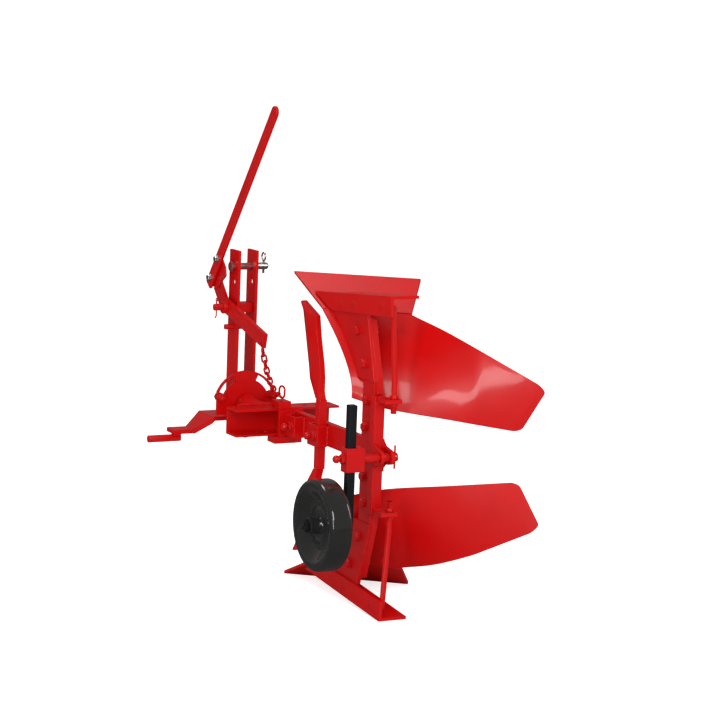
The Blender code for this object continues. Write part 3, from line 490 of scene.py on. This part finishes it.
def addKnife(side):
    name = "upper" if side > 0 else "lower"
    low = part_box(f"jointer_knife_{name}")[0]
    leftX = low.x - knifeLook["pastLeft"] - axisPoint.x
    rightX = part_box("jointer_bar")[1].x - knifeLook["shortOfRight"] - axisPoint.x
    mesh = bmesh.new()
    rings = []
    for front, rear, frontHeight, rearHeight, blade in knifeLook["stations"]:
        mid = (front + rear) / 2 + knifeLook["bladeShift"] * blade
        midHeight = (frontHeight + rearHeight) / 2
        thin = leftX + (rightX - leftX) * knifeLook["edgeBack"] * blade
        section = (
            (thin, front, frontHeight),
            (leftX + knifeLook["shankRidge"] * (1 - blade), mid, midHeight),
            (thin, rear, rearHeight),
            (rightX, rear, rearHeight),
            (rightX, front, frontHeight),
        )
        rings.append([mesh.verts.new(at(x, y, side * z)) for x, y, z in section])
    for a, b in zip(rings, rings[1:]):
        for j in range(5):
            mesh.faces.new((a[j], a[(j + 1) % 5], b[(j + 1) % 5], b[j]))
    mesh.faces.new(rings[0])
    mesh.faces.new(list(reversed(rings[-1])))
    knife = newPiece(f"knife_{name}", mesh, "plough_frame", "red_paint_tillage", knifeLook["sharpAngle"])
    addBevel(knife, knifeLook["roundEdge"])
    knife.modifiers["edges"].angle_limit = math.radians(knifeLook["roundAngle"])
    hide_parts(f"jointer_knife_{name}")


# Depth wheel: a pressed steel wheel with a dished face
wheelLook = {
    "halfWidth": 0.030,
    # radius, and place from the wheel's left face, out from the hub's end
    "dish": (
        (0.0098, 0.010),
        (0.019, 0.010),
        (0.0205, 0.0085),
        (0.0205, -0.017),
        (0.024, -0.021),
        (0.034, -0.0215),
        (0.037, -0.0195),
        (0.041, -0.0195),
        (0.044, -0.022),
        (0.061, -0.0225),
        (0.066, -0.0205),
        (0.084, -0.0075),
        (0.088, -0.0035),
        (0.0905, -0.0025),
        (0.0935, -0.0002),
    ),
    "shoulder": 0.011,
    "shoulderFlat": 0.014,
    # place from the tread, and from the wheel's right face
    "rimEdge": ((-0.016, 0.0), (-0.016, 0.004), (-0.007, 0.010)),
    "underTread": (-0.006, -0.011),
    # the dish seen from behind: radius, and place from the left face
    "dishBack": ((0.096, -0.006), (0.086, -0.011), (0.0635, -0.027), (0.0205, -0.026)),
    # the hub's right end: radius, and place from the right face
    "hubEnd": ((0.0205, -0.001), (0.0185, -0.002), (0.0098, -0.002)),
    "sides": 112,
    "sharpAngle": 42,
}


def addWheel():
    low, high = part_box("wheel")
    outer = (high.z - low.z) / 2
    half = wheelLook["halfWidth"]
    bend = wheelLook["shoulder"]
    profile = [(radius, half + along) for radius, along in wheelLook["dish"]]
    profile.append((outer - wheelLook["shoulderFlat"], half))
    quarter = [math.pi / 2 * step / 6 for step in range(7)]
    for angle in quarter:
        profile.append((outer - bend + bend * math.sin(angle), half - bend + bend * math.cos(angle)))
    for angle in quarter:
        profile.append((outer - bend + bend * math.cos(angle), -half + bend - bend * math.sin(angle)))
    profile += [(outer + out, -half + along) for out, along in wheelLook["rimEdge"]]
    profile.append((outer + wheelLook["underTread"][0], half + wheelLook["underTread"][1]))
    profile += [(radius, half + along) for radius, along in wheelLook["dishBack"]]
    profile += [(radius, -half + along) for radius, along in wheelLook["hubEnd"]]
    profile.append(profile[0])
    mesh = bmesh.new()
    lathe(mesh, wheelPoint, (-1, 0, 0), profile, wheelLook["sides"])
    bmesh.ops.remove_doubles(mesh, verts=mesh.verts, dist=0.00001)
    wheel = newPiece("pressed_wheel", mesh, "depth_wheel", "wheel_gloss_black", wheelLook["sharpAngle"])
    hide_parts("wheel")


axleLook = {
    "radius": 0.009,
    "tipRadius": 0.0085,
    "chamfer": 0.0005,
    "shorten": 0.001,
    "leftReach": 0.040,  # from the wheel's middle to the hub's left end
    "gap": 0.0004,
    "washer": ((0.0094, 0), (0.0175, 0), (0.0175, 0.0022), (0.0094, 0.0022)),
    "nutOut": 0.003,
    "nutAcross": 0.024,
    "nutHeight": 0.0075,
    "ribOut": 0.0115,
    "ribHalf": 0.0135,
    "ribRadius": 0.0016,
    "ribTurn": 0.26,
}


def addWheelAxle():
    low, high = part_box("wheel_axle")
    mesh = bmesh.new()
    y, z = wheelPoint.y, wheelPoint.z
    tip, radius, length = axleLook["tipRadius"], axleLook["radius"], high.x - low.x - axleLook["shorten"]
    profile = [(0, 0), (tip, 0), (radius, axleLook["chamfer"]), (radius, length), (0, length)]
    lathe(mesh, Vector((high.x, y, z)), (-1, 0, 0), profile, 36)
    leftFace = wheelPoint.x - axleLook["leftReach"]
    lathe(mesh, Vector((leftFace - axleLook["gap"], y, z)), (-1, 0, 0), axleLook["washer"], 36)
    nut = (leftFace - axleLook["nutOut"], y, z)
    hexHead(mesh, nut, (-1, 0, 0), axleLook["nutAcross"], axleLook["nutHeight"])
    for turn in (0, 1, 2):  # the nut's crown
        angle = math.pi * turn / 3 + axleLook["ribTurn"]
        way = Vector((0, math.cos(angle), math.sin(angle)))
        centre = Vector((leftFace - axleLook["ribOut"], y, z))
        ends = [centre - way * axleLook["ribHalf"], centre + way * axleLook["ribHalf"]]
        sweep(mesh, ends, axleLook["ribRadius"], 8)
    axle = newPiece("axle_and_nut", mesh, "wheel_arm", "leg_satin_black", 40)
    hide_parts("wheel_axle")


# Lift chain: oval links from the crank to the slide clamp
chainLook = {
    "path": (
        (-0.0442, -0.245, 0.212),
        (-0.028, -0.236, 0.160),
        (-0.004, -0.216, 0.115),
        (0.027, -0.186, 0.080),
        (0.055, -0.160, 0.0670),
    ),
    "linkLength": 0.0285,
    "linkWidth": 0.0185,
    "linkWire": 0.0027,
    "firstRoll": 40,
    "eyeShift": (0.004, 0.002, 0.002),
    "eyeBelow": 0.006,
    "eyeAbove": 0.026,
    "eyeWidth": 0.026,
    "eyeWire": 0.0029,
    "eyeRoll": 20,
}


def pathPoint(points, distance):
    for start, end in zip(points, points[1:]):
        length = (end - start).length
        if distance <= length:
            return start.lerp(end, distance / length)
        distance -= length
    return points[-1]


# One oval link between two points, turned by roll about its own length.
def addLink(mesh, start, end, roll, width, wire):
    middle, way = (start + end) / 2, (end - start).normalized()
    helper = Vector((0, 0, 1)) if abs(way.z) < 0.9 else Vector((1, 0, 0))
    across = way.cross(helper).normalized()
    across = Matrix.Rotation(roll, 3, way) @ across
    bend = width / 2 - wire
    straight = (end - start).length / 2 - bend
    points = []
    for step in range(24):
        angle = 2 * math.pi * step / 24
        along = math.sin(angle) * bend + (straight if math.sin(angle) >= 0 else -straight)
        points.append(middle + way * along + across * math.cos(angle) * bend)
    sweep(mesh, points, wire, 10, closed=True)


def addChain():
    points = [at(*point) for point in chainLook["path"]]
    total = sum((b - a).length for a, b in zip(points, points[1:]))
    width, wire = chainLook["linkWidth"], chainLook["linkWire"]
    pitch = chainLook["linkLength"] - 4 * wire
    count = int(total / pitch)
    mesh = bmesh.new()
    for number in range(count):
        start = pathPoint(points, total * number / count)
        end = pathPoint(points, total * (number + 1) / count)
        grow = (end - start).normalized() * wire
        roll = math.radians(chainLook["firstRoll"] + 90 * (number % 2))
        addLink(mesh, start - grow, end + grow, roll, width, wire)
    eye = points[-1] + Vector(chainLook["eyeShift"])
    bottom = eye + Vector((0, 0, -chainLook["eyeBelow"]))
    top = eye + Vector((0, 0, chainLook["eyeAbove"]))
    roll = math.radians(chainLook["eyeRoll"])
    addLink(mesh, bottom, top, roll, chainLook["eyeWidth"], chainLook["eyeWire"])
    chain = newPiece("chain_links", mesh, "hand_lever", "red_paint_fittings", 60)
    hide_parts("lift_chain")


# Bolts, nuts and washers that the CAD leaves out
frameBoltLook = {
    # y and height of each bolt, for the upper body
    "frog": ((-0.564, 0.303), (-0.607, 0.224)),
    "frogHead": {"across": 0.0215, "height": 0.0095, "washer": 0.0145},
    "leg": ((-0.622, 0.064), (-0.628, 0.132)),
    "legHead": {"across": 0.0205, "height": 0.0090, "washer": 0.0135},
    "landside": ((-0.474, 0.357), (-0.550, 0.366), (-0.697, 0.381)),
    "flushHead": ((0, -0.002), (0.0115, -0.002), (0.0115, 0.0), (0.0085, 0.0012), (0, 0.0012)),
}


def addFasteners():
    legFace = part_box("leg_plate")[0].x - axisPoint.x
    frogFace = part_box("frog_plate_upper")[0].x - axisPoint.x
    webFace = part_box("landside_lower")[0].x - axisPoint.x
    mesh = bmesh.new()
    for side in (1, -1):
        for y, z in frameBoltLook["frog"]:
            hexHead(mesh, at(frogFace, y, side * z), (-1, 0, 0), **frameBoltLook["frogHead"])
        for y, z in frameBoltLook["leg"]:
            hexHead(mesh, at(legFace, y, side * z), (-1, 0, 0), **frameBoltLook["legHead"])
        for y, z in frameBoltLook["landside"]:
            lathe(mesh, at(webFace, y, side * z), (-1, 0, 0), frameBoltLook["flushHead"], 30)
    newPiece("frame_bolts", mesh, "plough_frame", "red_paint_fittings", 35)


bodyBoltLook = {
    "places": ((0.128, -0.556, 0.318), (0.166, -0.585, 0.318)),
    "lowered": 0.016,
    "way": (-0.12, -0.86, -0.45),
    "nut": {"across": 0.013, "height": 0.007, "washer": 0.0105, "thread": 0.006, "threadRadius": 0.004},
}


# Nuts and thread ends behind the moldboards, where they are bolted to the frog.
def addBodyBolts():
    wayX, wayY, wayZ = bodyBoltLook["way"]
    for side in (1, -1):
        mesh = bmesh.new()
        for x, y, z in bodyBoltLook["places"]:
            place = at(x, y, side * (z - bodyBoltLook["lowered"]))
            hexHead(mesh, place, (wayX, wayY, wayZ * side), **bodyBoltLook["nut"])
        name = "share_nuts_upper" if side > 0 else "share_nuts_lower"
        newPiece(name, mesh, "plough_frame", "red_paint_fittings", 35)


stopBoltLook = {
    "head": {"across": 0.019, "height": 0.009, "washer": 0.0125},
    "lockNut": {"across": 0.019, "height": 0.010, "thread": 0.003, "threadRadius": 0.006},
    "lockNutOut": 0.0115,
    "front": {"across": 0.019, "height": 0.008, "washer": 0.0125},
    "discThickness": 0.0098,
}


def addStopBolts():
    for side, name in ((-1, "left"), (1, "right")):
        low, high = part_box(f"stop_bolt_{name}")
        centre = (low + high) / 2
        mesh = bmesh.new()
        start = Vector((centre.x, high.y, centre.z))
        hexHead(mesh, start, (0, -1, 0), **stopBoltLook["head"])
        nut = start - Vector((0, stopBoltLook["lockNutOut"], 0))
        hexHead(mesh, nut, (0, -1, 0), **stopBoltLook["lockNut"])
        bolt = newPiece(f"stop_bolt_look_{name}", mesh, "headstock", "red_paint_fittings", 35)
        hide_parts(f"stop_bolt_{name}")
        mesh = bmesh.new()
        front = Vector((centre.x, high.y + stopBoltLook["discThickness"], centre.z))
        hexHead(mesh, front, (0, 1, 0), **stopBoltLook["front"])
        newPiece(f"stop_bolt_front_{name}", mesh, "headstock", "red_paint_fittings", 35)


leverBoltLook = {"across": 0.0165, "height": 0.007, "washer": 0.0108}


def addLeverBolts():
    for number in (1, 2):
        low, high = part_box(f"lever_bolt_{number}")
        centre = (low + high) / 2
        mesh = bmesh.new()
        hexHead(mesh, (high.x, centre.y, centre.z), (-1, 0, 0), **leverBoltLook)
        bolt = newPiece(f"lever_bolt_look_{number}", mesh, "hand_lever", "zinc_plate", 35)
        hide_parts(f"lever_bolt_{number}")


topLinkPinLook = {
    # radius, and place from the head's end
    "head": ((0, 0), (0.0125, 0), (0.0145, 0.0015), (0.0145, 0.0055), (0.0130, 0.0085), (0.0095, 0.0088)),
    "radius": 0.0095,
    "tipRadius": 0.0070,
    "tipLength": 0.004,
}


def addTopLinkPin():
    low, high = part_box("top_link_pin")
    centre = (low + high) / 2
    mesh = bmesh.new()
    length = high.x - low.x
    profile = list(topLinkPinLook["head"])
    profile.append((topLinkPinLook["radius"], length - topLinkPinLook["tipLength"]))
    profile += [(topLinkPinLook["tipRadius"], length), (0, length)]
    lathe(mesh, Vector((low.x, centre.y, centre.z)), (1, 0, 0), profile, 40)
    pin = newPiece("top_link_pin_look", mesh, "headstock", "zinc_plate", 35)
    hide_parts("top_link_pin")


splitPinLook = {
    "inFromEnd": 0.007,
    # x, y and z of the wire's points from the pin's axis
    "wire": ((0, 0, 0.015), (0, 0, -0.024), (-0.003, 0.001, -0.030)),
    "wireRadius": 0.0019,
    "ringHeight": 0.0195,
    "ringRadius": 0.0045,
    "ringWire": 0.0015,
}


# A thin split pin through the lever's pivot pin.
def addCotters():
    low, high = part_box("lever_pivot_pin")
    x, y, z = low.x + splitPinLook["inFromEnd"], (low.y + high.y) / 2, (low.z + high.z) / 2
    mesh = bmesh.new()
    wire = [Vector((x + right, y + ahead, z + up)) for right, ahead, up in splitPinLook["wire"]]
    sweep(mesh, wire, splitPinLook["wireRadius"], 10)
    middle = Vector((x, y, z + splitPinLook["ringHeight"]))
    ring = []
    for step in range(18):
        angle = 2 * math.pi * step / 18
        ring.append(middle + Vector((0, math.cos(angle), math.sin(angle))) * splitPinLook["ringRadius"])
    sweep(mesh, ring, splitPinLook["ringWire"], 8, closed=True)
    newPiece("lever_split_pin", mesh, "headstock", "red_paint_fittings", 60)


# Welds where plates and bars meet
headstockWeldLook = {
    # both ends of each straight bead as x, y and height on the right side, and the bead's radius
    "beads": (
        ((0.0222, 0.013, -0.0048), (0.0222, -0.021, -0.0048), 0.0026),
        ((0.0299, 0.013, -0.0048), (0.0299, -0.021, -0.0048), 0.0026),
        ((0.0305, -0.0450, 0.010), (0.0305, -0.0450, 0.104), 0.0026),
    ),
    # the beads over each lower link pin: x of both ends, y, depth below the pin's top, radius
    "pinBeads": ((0.153, 0.173, 0.0475, 0.0, 0.0030), (0.153, 0.173, 0.0300, 0.001, 0.0026)),
    "crosspieceBead": ((0.0215, -0.030, 0.280), (0.0215, 0.006, 0.280), 0.0022),
    "ringRadius": 0.0222,
    "ringBead": 0.0022,
    "ringGap": 0.0002,
}


def addHeadstockWelds():
    def bead(side, start, end, radius):
        weldBead(mesh, [at(side * x, y, z) for x, y, z in (start, end)], radius)

    mesh = bmesh.new()
    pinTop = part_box("lower_link_pin_left")[1].z - axisPoint.z
    for side in (-1, 1):
        for start, end, radius in headstockWeldLook["beads"]:
            bead(side, start, end, radius)
        for first, last, y, depth, radius in headstockWeldLook["pinBeads"]:
            bead(side, (first, y, pinTop - depth), (last, y, pinTop - depth), radius)
        bead(side, *headstockWeldLook["crosspieceBead"])
    ring = []
    for step in range(21):
        angle = math.pi * step / 20
        reach = headstockWeldLook["ringRadius"]
        spot = at(reach * math.cos(angle), 0, reach * math.sin(angle))
        ring.append(Vector((spot.x, discRear - headstockWeldLook["ringGap"], spot.z)))
    weldBead(mesh, ring, headstockWeldLook["ringBead"])
    newPiece("headstock_welds", mesh, "headstock", "red_paint_frame", 60)


socketWeldLook = {
    "sideBead": 0.0042,
    "sideInset": 0.003,
    "nutRing": (0.0122, 0.0112),
    "nutGap": 0.0004,
    "nutBead": 0.0022,
    "beamBead": 0.0030,
    "beamInset": 0.001,
    "beamSideInset": 0.002,
}
spatterLook = {
    "seed": 5,
    "smallest": 0.0005,
    "onLeft": {"count": 46, "largest": 0.0012},
    "onRear": {"count": 30, "largest": 0.0011},
    "onBeam": {"count": 26, "largest": 0.0012, "nearest": 0.002, "farthest": 0.024},
}


def addSpatter(mesh):
    spread = random.Random(spatterLook["seed"])
    smallest = spatterLook["smallest"]
    onLeft, onRear, onBeam = spatterLook["onLeft"], spatterLook["onRear"], spatterLook["onBeam"]
    for name in ("spare_socket", "jointer_socket"):
        low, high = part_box(name)
        for _ in range(onLeft["count"]):
            place = Vector((low.x, spread.uniform(low.y, high.y), spread.uniform(low.z, high.z)))
            addDrop(mesh, place, spread.uniform(smallest, onLeft["largest"]))
        for _ in range(onRear["count"]):
            place = Vector((spread.uniform(low.x, high.x), low.y, spread.uniform(low.z, high.z)))
            addDrop(mesh, place, spread.uniform(smallest, onRear["largest"]))
        for _ in range(onBeam["count"]):
            behind = spread.uniform(onBeam["nearest"], onBeam["farthest"])
            place = Vector((high.x, low.y - behind, spread.uniform(low.z, high.z)))
            addDrop(mesh, place, spread.uniform(smallest, onBeam["largest"]))


def addSocketWelds():
    mesh = bmesh.new()
    inset = socketWeldLook["sideInset"]
    for name in ("spare_socket", "jointer_socket"):
        low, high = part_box(name)
        for y in (low.y, high.y):
            ends = [Vector((high.x, y, low.z + inset)), Vector((high.x, y, high.z - inset))]
            weldBead(mesh, ends, socketWeldLook["sideBead"])
    ringY, ringZ = socketWeldLook["nutRing"]
    for name in ("spare_lock_bolt", "jointer_lock_bolt"):
        low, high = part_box(name)
        centre = (low + high) / 2
        x = high.x - socketWeldLook["nutGap"]
        angles = [2 * math.pi * k / 24 for k in range(25)]
        ring = [
            Vector((x, centre.y + ringY * math.cos(angle), centre.z + ringZ * math.sin(angle)))
            for angle in angles
        ]
        weldBead(mesh, ring, socketWeldLook["nutBead"])
    low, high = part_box("main_beam")
    inset = socketWeldLook["beamInset"]
    for z in (low.z, high.z):
        ends = [Vector((low.x + inset, high.y, z)), Vector((high.x - inset, high.y, z))]
        weldBead(mesh, ends, socketWeldLook["beamBead"])
    inset = socketWeldLook["beamSideInset"]
    ends = [Vector((low.x, high.y, low.z + inset)), Vector((low.x, high.y, high.z - inset))]
    weldBead(mesh, ends, socketWeldLook["beamBead"])
    addSpatter(mesh)
    newPiece("beam_welds", mesh, "plough_frame", "red_paint_frame", 60)


legWeldLook = {
    "plateBead": 0.0024,
    "plateInset": 0.01,
    "braceBead": 0.0026,
    "braceInset": 0.002,
    "pivotBead": 0.0022,
    "pivotInset": 0.004,
}


def addLegWelds():
    mesh = bmesh.new()
    low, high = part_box("standard")
    plateLow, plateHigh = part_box("leg_plate")
    inset = legWeldLook["plateInset"]
    for x in (plateLow.x, plateHigh.x):
        ends = [Vector((x, high.y, low.z + inset)), Vector((x, high.y, high.z - inset))]
        weldBead(mesh, ends, legWeldLook["plateBead"])
    for name in ("upper", "lower"):
        lugLow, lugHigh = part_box(f"brace_lug_{name}")
        left = lugLow.x + legWeldLook["braceInset"]
        for z in (lugLow.z, lugHigh.z):
            ends = [Vector((left, lugHigh.y, z)), Vector((high.x, lugHigh.y, z))]
            weldBead(mesh, ends, legWeldLook["braceBead"])
    inset = legWeldLook["pivotInset"]
    for name in ("pivot_lug_left", "pivot_lug_right"):
        lugLow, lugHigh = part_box(name)
        ends = [Vector((lugLow.x, low.y, lugLow.z + inset)), Vector((lugLow.x, low.y, lugHigh.z - inset))]
        weldBead(mesh, ends, legWeldLook["pivotBead"])
    newPiece("leg_welds", mesh, "plough_frame", "red_paint_frame", 60)


lockBoltLook = {
    "nut": {"across": 0.0235, "height": 0.0088},
    "shankIn": 0.0085,
    "shankRadius": 0.0062,
    "shankLength": 0.012,
    "ballRadius": 0.0104,
    "ballIn": 0.0204,
    "ballLength": 0.0206,
}


# A lock bolt with a ball head and a nut that is welded to its seat.
def addLockBolt(node, body):
    low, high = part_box(node)
    y, z = (low.y + high.y) / 2, (low.z + high.z) / 2
    mesh = bmesh.new()
    hexHead(mesh, (high.x, y, z), (-1, 0, 0), **lockBoltLook["nut"])
    radius, length = lockBoltLook["shankRadius"], lockBoltLook["shankLength"]
    shank = [(0, 0), (radius, 0), (radius, length), (0, length)]
    lathe(mesh, Vector((high.x - lockBoltLook["shankIn"], y, z)), (-1, 0, 0), shank, 20)
    reach = lockBoltLook["ballRadius"]
    ball = [(0, 0)]
    for angle in [math.pi * k / 10 for k in range(1, 10)]:
        ball.append((reach * math.sin(angle), reach * (1 - math.cos(angle))))
    ball.append((0, lockBoltLook["ballLength"]))
    lathe(mesh, Vector((low.x + lockBoltLook["ballIn"], y, z)), (-1, 0, 0), ball, 24)
    bolt = newPiece(f"ball_{node}", mesh, body, "red_paint_fittings", 35)
    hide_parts(node)


saddleLook = {
    # y, half width, top height above the axis (None: just over the slide's flange), flatness
    "sections": (
        (-0.0585, 0.030, 0.062, 0.0),
        (-0.082, 0.0315, 0.054, 0.15),
        (-0.1075, 0.050, None, 1.0),
    ),
    "overFlange": 0.006,
    "foot": 0.022,
    "flatShift": 0.004,
    "flatRise": 3,
    "steps": 14,
    "roundEdge": 0.0015,
    "sharpAngle": 50,
    "beadHalf": 0.050,
    "beadY": -0.1085,
    "beadRise": 0.0012,
    "beadRadius": 0.0032,
}


# The tapered saddle that ties the spindle's hub to the cross slide's flange.
def addHubSaddle(side):
    name = "upper" if side > 0 else "lower"
    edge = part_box("cross_slide")[1].z - axisPoint.z
    steps, foot = saddleLook["steps"], saddleLook["foot"]
    rings = []
    mesh = bmesh.new()
    for place, half, top, flat in saddleLook["sections"]:
        if top is None:
            top = edge + saddleLook["overFlange"]
        ring = []
        for step in range(steps + 1):
            angle = math.pi * step / steps
            square = min(1.0, math.sin(angle) * saddleLook["flatRise"])
            height = math.sin(angle) * (1 - flat) + flat * square
            x = saddleLook["flatShift"] * flat + math.cos(angle) * half
            ring.append(mesh.verts.new(at(x, place, side * (foot + (top - foot) * height))))
        rings.append(ring)
    for a, b in zip(rings, rings[1:]):
        for j in range(steps):
            mesh.faces.new((a[j], a[j + 1], b[j + 1], b[j]))
        mesh.faces.new((a[steps], a[0], b[0], b[steps]))
    mesh.faces.new(rings[0])
    mesh.faces.new(list(reversed(rings[-1])))
    sharp = saddleLook["sharpAngle"]
    saddle = newPiece(f"hub_saddle_{name}", mesh, "plough_frame", "red_paint_frame", sharp)
    addBevel(saddle, saddleLook["roundEdge"])
    mesh = bmesh.new()
    beadHalf, beadZ = saddleLook["beadHalf"], side * (edge + saddleLook["beadRise"])
    bead = [at(beadHalf - 2 * beadHalf * k / 20, saddleLook["beadY"], beadZ) for k in range(21)]
    weldBead(mesh, bead, saddleLook["beadRadius"])
    newPiece(f"saddle_weld_{name}", mesh, "plough_frame", "red_paint_frame", 60)


braceThreadLook = {"rodIn": 0.015, "rodY": -0.7165, "radius": 0.0080, "nutHeight": 0.0098}


# Thread ends on the brace rods, past their nuts.
def addBraceNuts():
    for side, name in ((1, "upper"), (-1, "lower")):
        low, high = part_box(f"brace_rod_{name}")
        lugLow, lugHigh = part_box(f"brace_lug_{name}")
        rodX = lugHigh.x - braceThreadLook["rodIn"]
        rodY = axisPoint.y + mastBeforeAxisPoint + braceThreadLook["rodY"]
        mesh = bmesh.new()
        nut = braceThreadLook["nutHeight"]
        end = low.z if side > 0 else high.z
        seat = lugLow.z - nut if side > 0 else lugHigh.z + nut
        length = abs(seat - end)
        addThread(mesh, Vector((rodX, rodY, end)), (0, 0, side), braceThreadLook["radius"], length)
        newPiece(f"brace_thread_{name}", mesh, "plough_frame", "red_paint_fittings", 60)


addRoundedPieces()
print("rounded pieces made")
addMoldboards()
addKnife(1)
addKnife(-1)
print("blades made")
addWheel()
addWheelAxle()
print("wheel made")
addChain()
print("chain made")
addFasteners()
addBodyBolts()
addStopBolts()
addLeverBolts()
addTopLinkPin()
addCotters()
addBraceNuts()
print("fasteners made")
addHeadstockWelds()
addSocketWelds()
addLegWelds()
addHubSaddle(1)
addHubSaddle(-1)
addLockBolt("spare_lock_bolt", "plough_frame")
addLockBolt("jointer_lock_bolt", "plough_frame")
addLockBolt("wheel_lock_bolt", "wheel_arm")
print("welds made")
for node, obj in frame["nodes"].items():
    obj.data.materials.clear()
    obj.data.materials.append(slotMaterials[slotOfNode[node]])


# Stage, light and camera
floorLook = {
    "size": 30,
    "below": 0.0005,
    "roughness": 0.9,
    "specular": 0.1,
    "colour": (0.88, 0.88, 0.88, 1),
    "inReflections": (0.08, 0.08, 0.08, 1),
    "glow": 0.75,
}


def addFloor():
    mesh = bmesh.new()
    bmesh.ops.create_grid(mesh, x_segments=1, y_segments=1, size=floorLook["size"])
    data = bpy.data.meshes.new("floor")
    mesh.to_mesh(data)
    mesh.free()
    floor = bpy.data.objects.new("floor", data)
    floor.location = (0, 0, cadLow.z - floorLook["below"])
    bpy.context.scene.collection.objects.link(floor)
    material = bpy.data.materials.new("paleFloor")
    material.use_nodes = True
    nodes, links = material.node_tree.nodes, material.node_tree.links
    shader = nodes["Principled BSDF"]
    shader.inputs["Roughness"].default_value = floorLook["roughness"]
    shader.inputs["Specular IOR Level"].default_value = floorLook["specular"]
    shader.inputs["Emission Color"].default_value = (1, 1, 1, 1)
    ray = nodes.new("ShaderNodeLightPath")
    shade = nodes.new("ShaderNodeMix")
    shade.data_type = "RGBA"
    shade.inputs["A"].default_value = floorLook["colour"]
    shade.inputs["B"].default_value = floorLook["inReflections"]
    links.new(ray.outputs["Is Glossy Ray"], shade.inputs["Factor"])
    links.new(shade.outputs["Result"], shader.inputs["Base Color"])
    lift = nodes.new("ShaderNodeMath")
    lift.operation = "MULTIPLY"
    lift.inputs[1].default_value = floorLook["glow"]
    links.new(ray.outputs["Is Camera Ray"], lift.inputs[0])
    links.new(lift.outputs["Value"], shader.inputs["Emission Strength"])
    data.materials.append(material)


lampLook = {
    "keyLight": {"place": (-1.9, -3.9, 2.7), "size": (1.6, 1.6), "power": 70},
    "fillLight": {"place": (3.4, -2.0, 2.4), "size": (0.6, 2.2), "power": 36},
    "stripLight": {"place": (-2.7, -2.9, 0.9), "size": (0.35, 1.3), "power": 22},
    "topLight": {"place": (-0.6, 1.2, 3.8), "size": (1.8, 1.0), "power": 28},
}
lampTarget = Vector((0, 0, 0.6))


def addSoftLight(name, place, size, power):
    light = bpy.data.lights.new(name, "AREA")
    light.shape = "RECTANGLE"
    light.size, light.size_y = size
    light.energy = power
    lamp = bpy.data.objects.new(name, light)
    lamp.location = place
    lamp.rotation_euler = (lampTarget - Vector(place)).to_track_quat("-Z", "Y").to_euler()
    bpy.context.scene.collection.objects.link(lamp)


worldLook = {"light": 0.56, "inReflections": 0.16, "backdrop": 0.75}  # a darker room in reflections


def addWorld():
    world = bpy.data.worlds.new("paleRoom")
    world.use_nodes = True
    nodes, links = world.node_tree.nodes, world.node_tree.links
    background = nodes["Background"]
    background.inputs["Color"].default_value = (1, 1, 1, 1)
    ray = nodes.new("ShaderNodeLightPath")
    strength = nodes.new("ShaderNodeMapRange")
    strength.inputs["To Min"].default_value = worldLook["light"]
    strength.inputs["To Max"].default_value = worldLook["inReflections"]
    links.new(ray.outputs["Is Glossy Ray"], strength.inputs["Value"])
    seen = nodes.new("ShaderNodeMath")
    seen.operation = "MULTIPLY_ADD"
    seen.inputs[1].default_value = worldLook["backdrop"]
    links.new(ray.outputs["Is Camera Ray"], seen.inputs[0])
    links.new(strength.outputs["Result"], seen.inputs[2])
    links.new(seen.outputs["Value"], background.inputs["Strength"])
    bpy.context.scene.world = world


cameraLook = {
    "place": (-2.8001, -6.1263, 1.1593),
    "yaw": 0.478049,
    "pitch": 0.147859,
    "roll": 0.038068,
    "lens": 124.13,
    "sensorWidth": 36,
    "clipEnd": 100,
}


# A long lens from behind and to the left of the plough, a little above it.
def addCamera():
    yaw, pitch, roll = cameraLook["yaw"], cameraLook["pitch"], cameraLook["roll"]
    look = Vector((math.sin(yaw) * math.cos(pitch), math.cos(yaw) * math.cos(pitch), -math.sin(pitch)))
    level = Vector((math.cos(yaw), -math.sin(yaw), 0))
    up = level.cross(look)
    right = level * math.cos(roll) + up * math.sin(roll)
    up = up * math.cos(roll) - level * math.sin(roll)
    camera = bpy.data.objects.new("camera", bpy.data.cameras.new("camera"))
    camera.data.lens = cameraLook["lens"]
    camera.data.sensor_width = cameraLook["sensorWidth"]
    camera.data.clip_end = cameraLook["clipEnd"]
    camera.rotation_mode = "QUATERNION"
    camera.rotation_quaternion = Matrix((right, up, -look)).transposed().to_quaternion()
    camera.location = at(*cameraLook["place"])
    bpy.context.scene.collection.objects.link(camera)
    bpy.context.scene.camera = camera


addFloor()
addWorld()
for lampName, lamp in lampLook.items():
    addSoftLight(lampName, lamp["place"], lamp["size"], lamp["power"])
addCamera()
bpy.context.scene.view_settings.view_transform = "Standard"
print("stage and camera set")
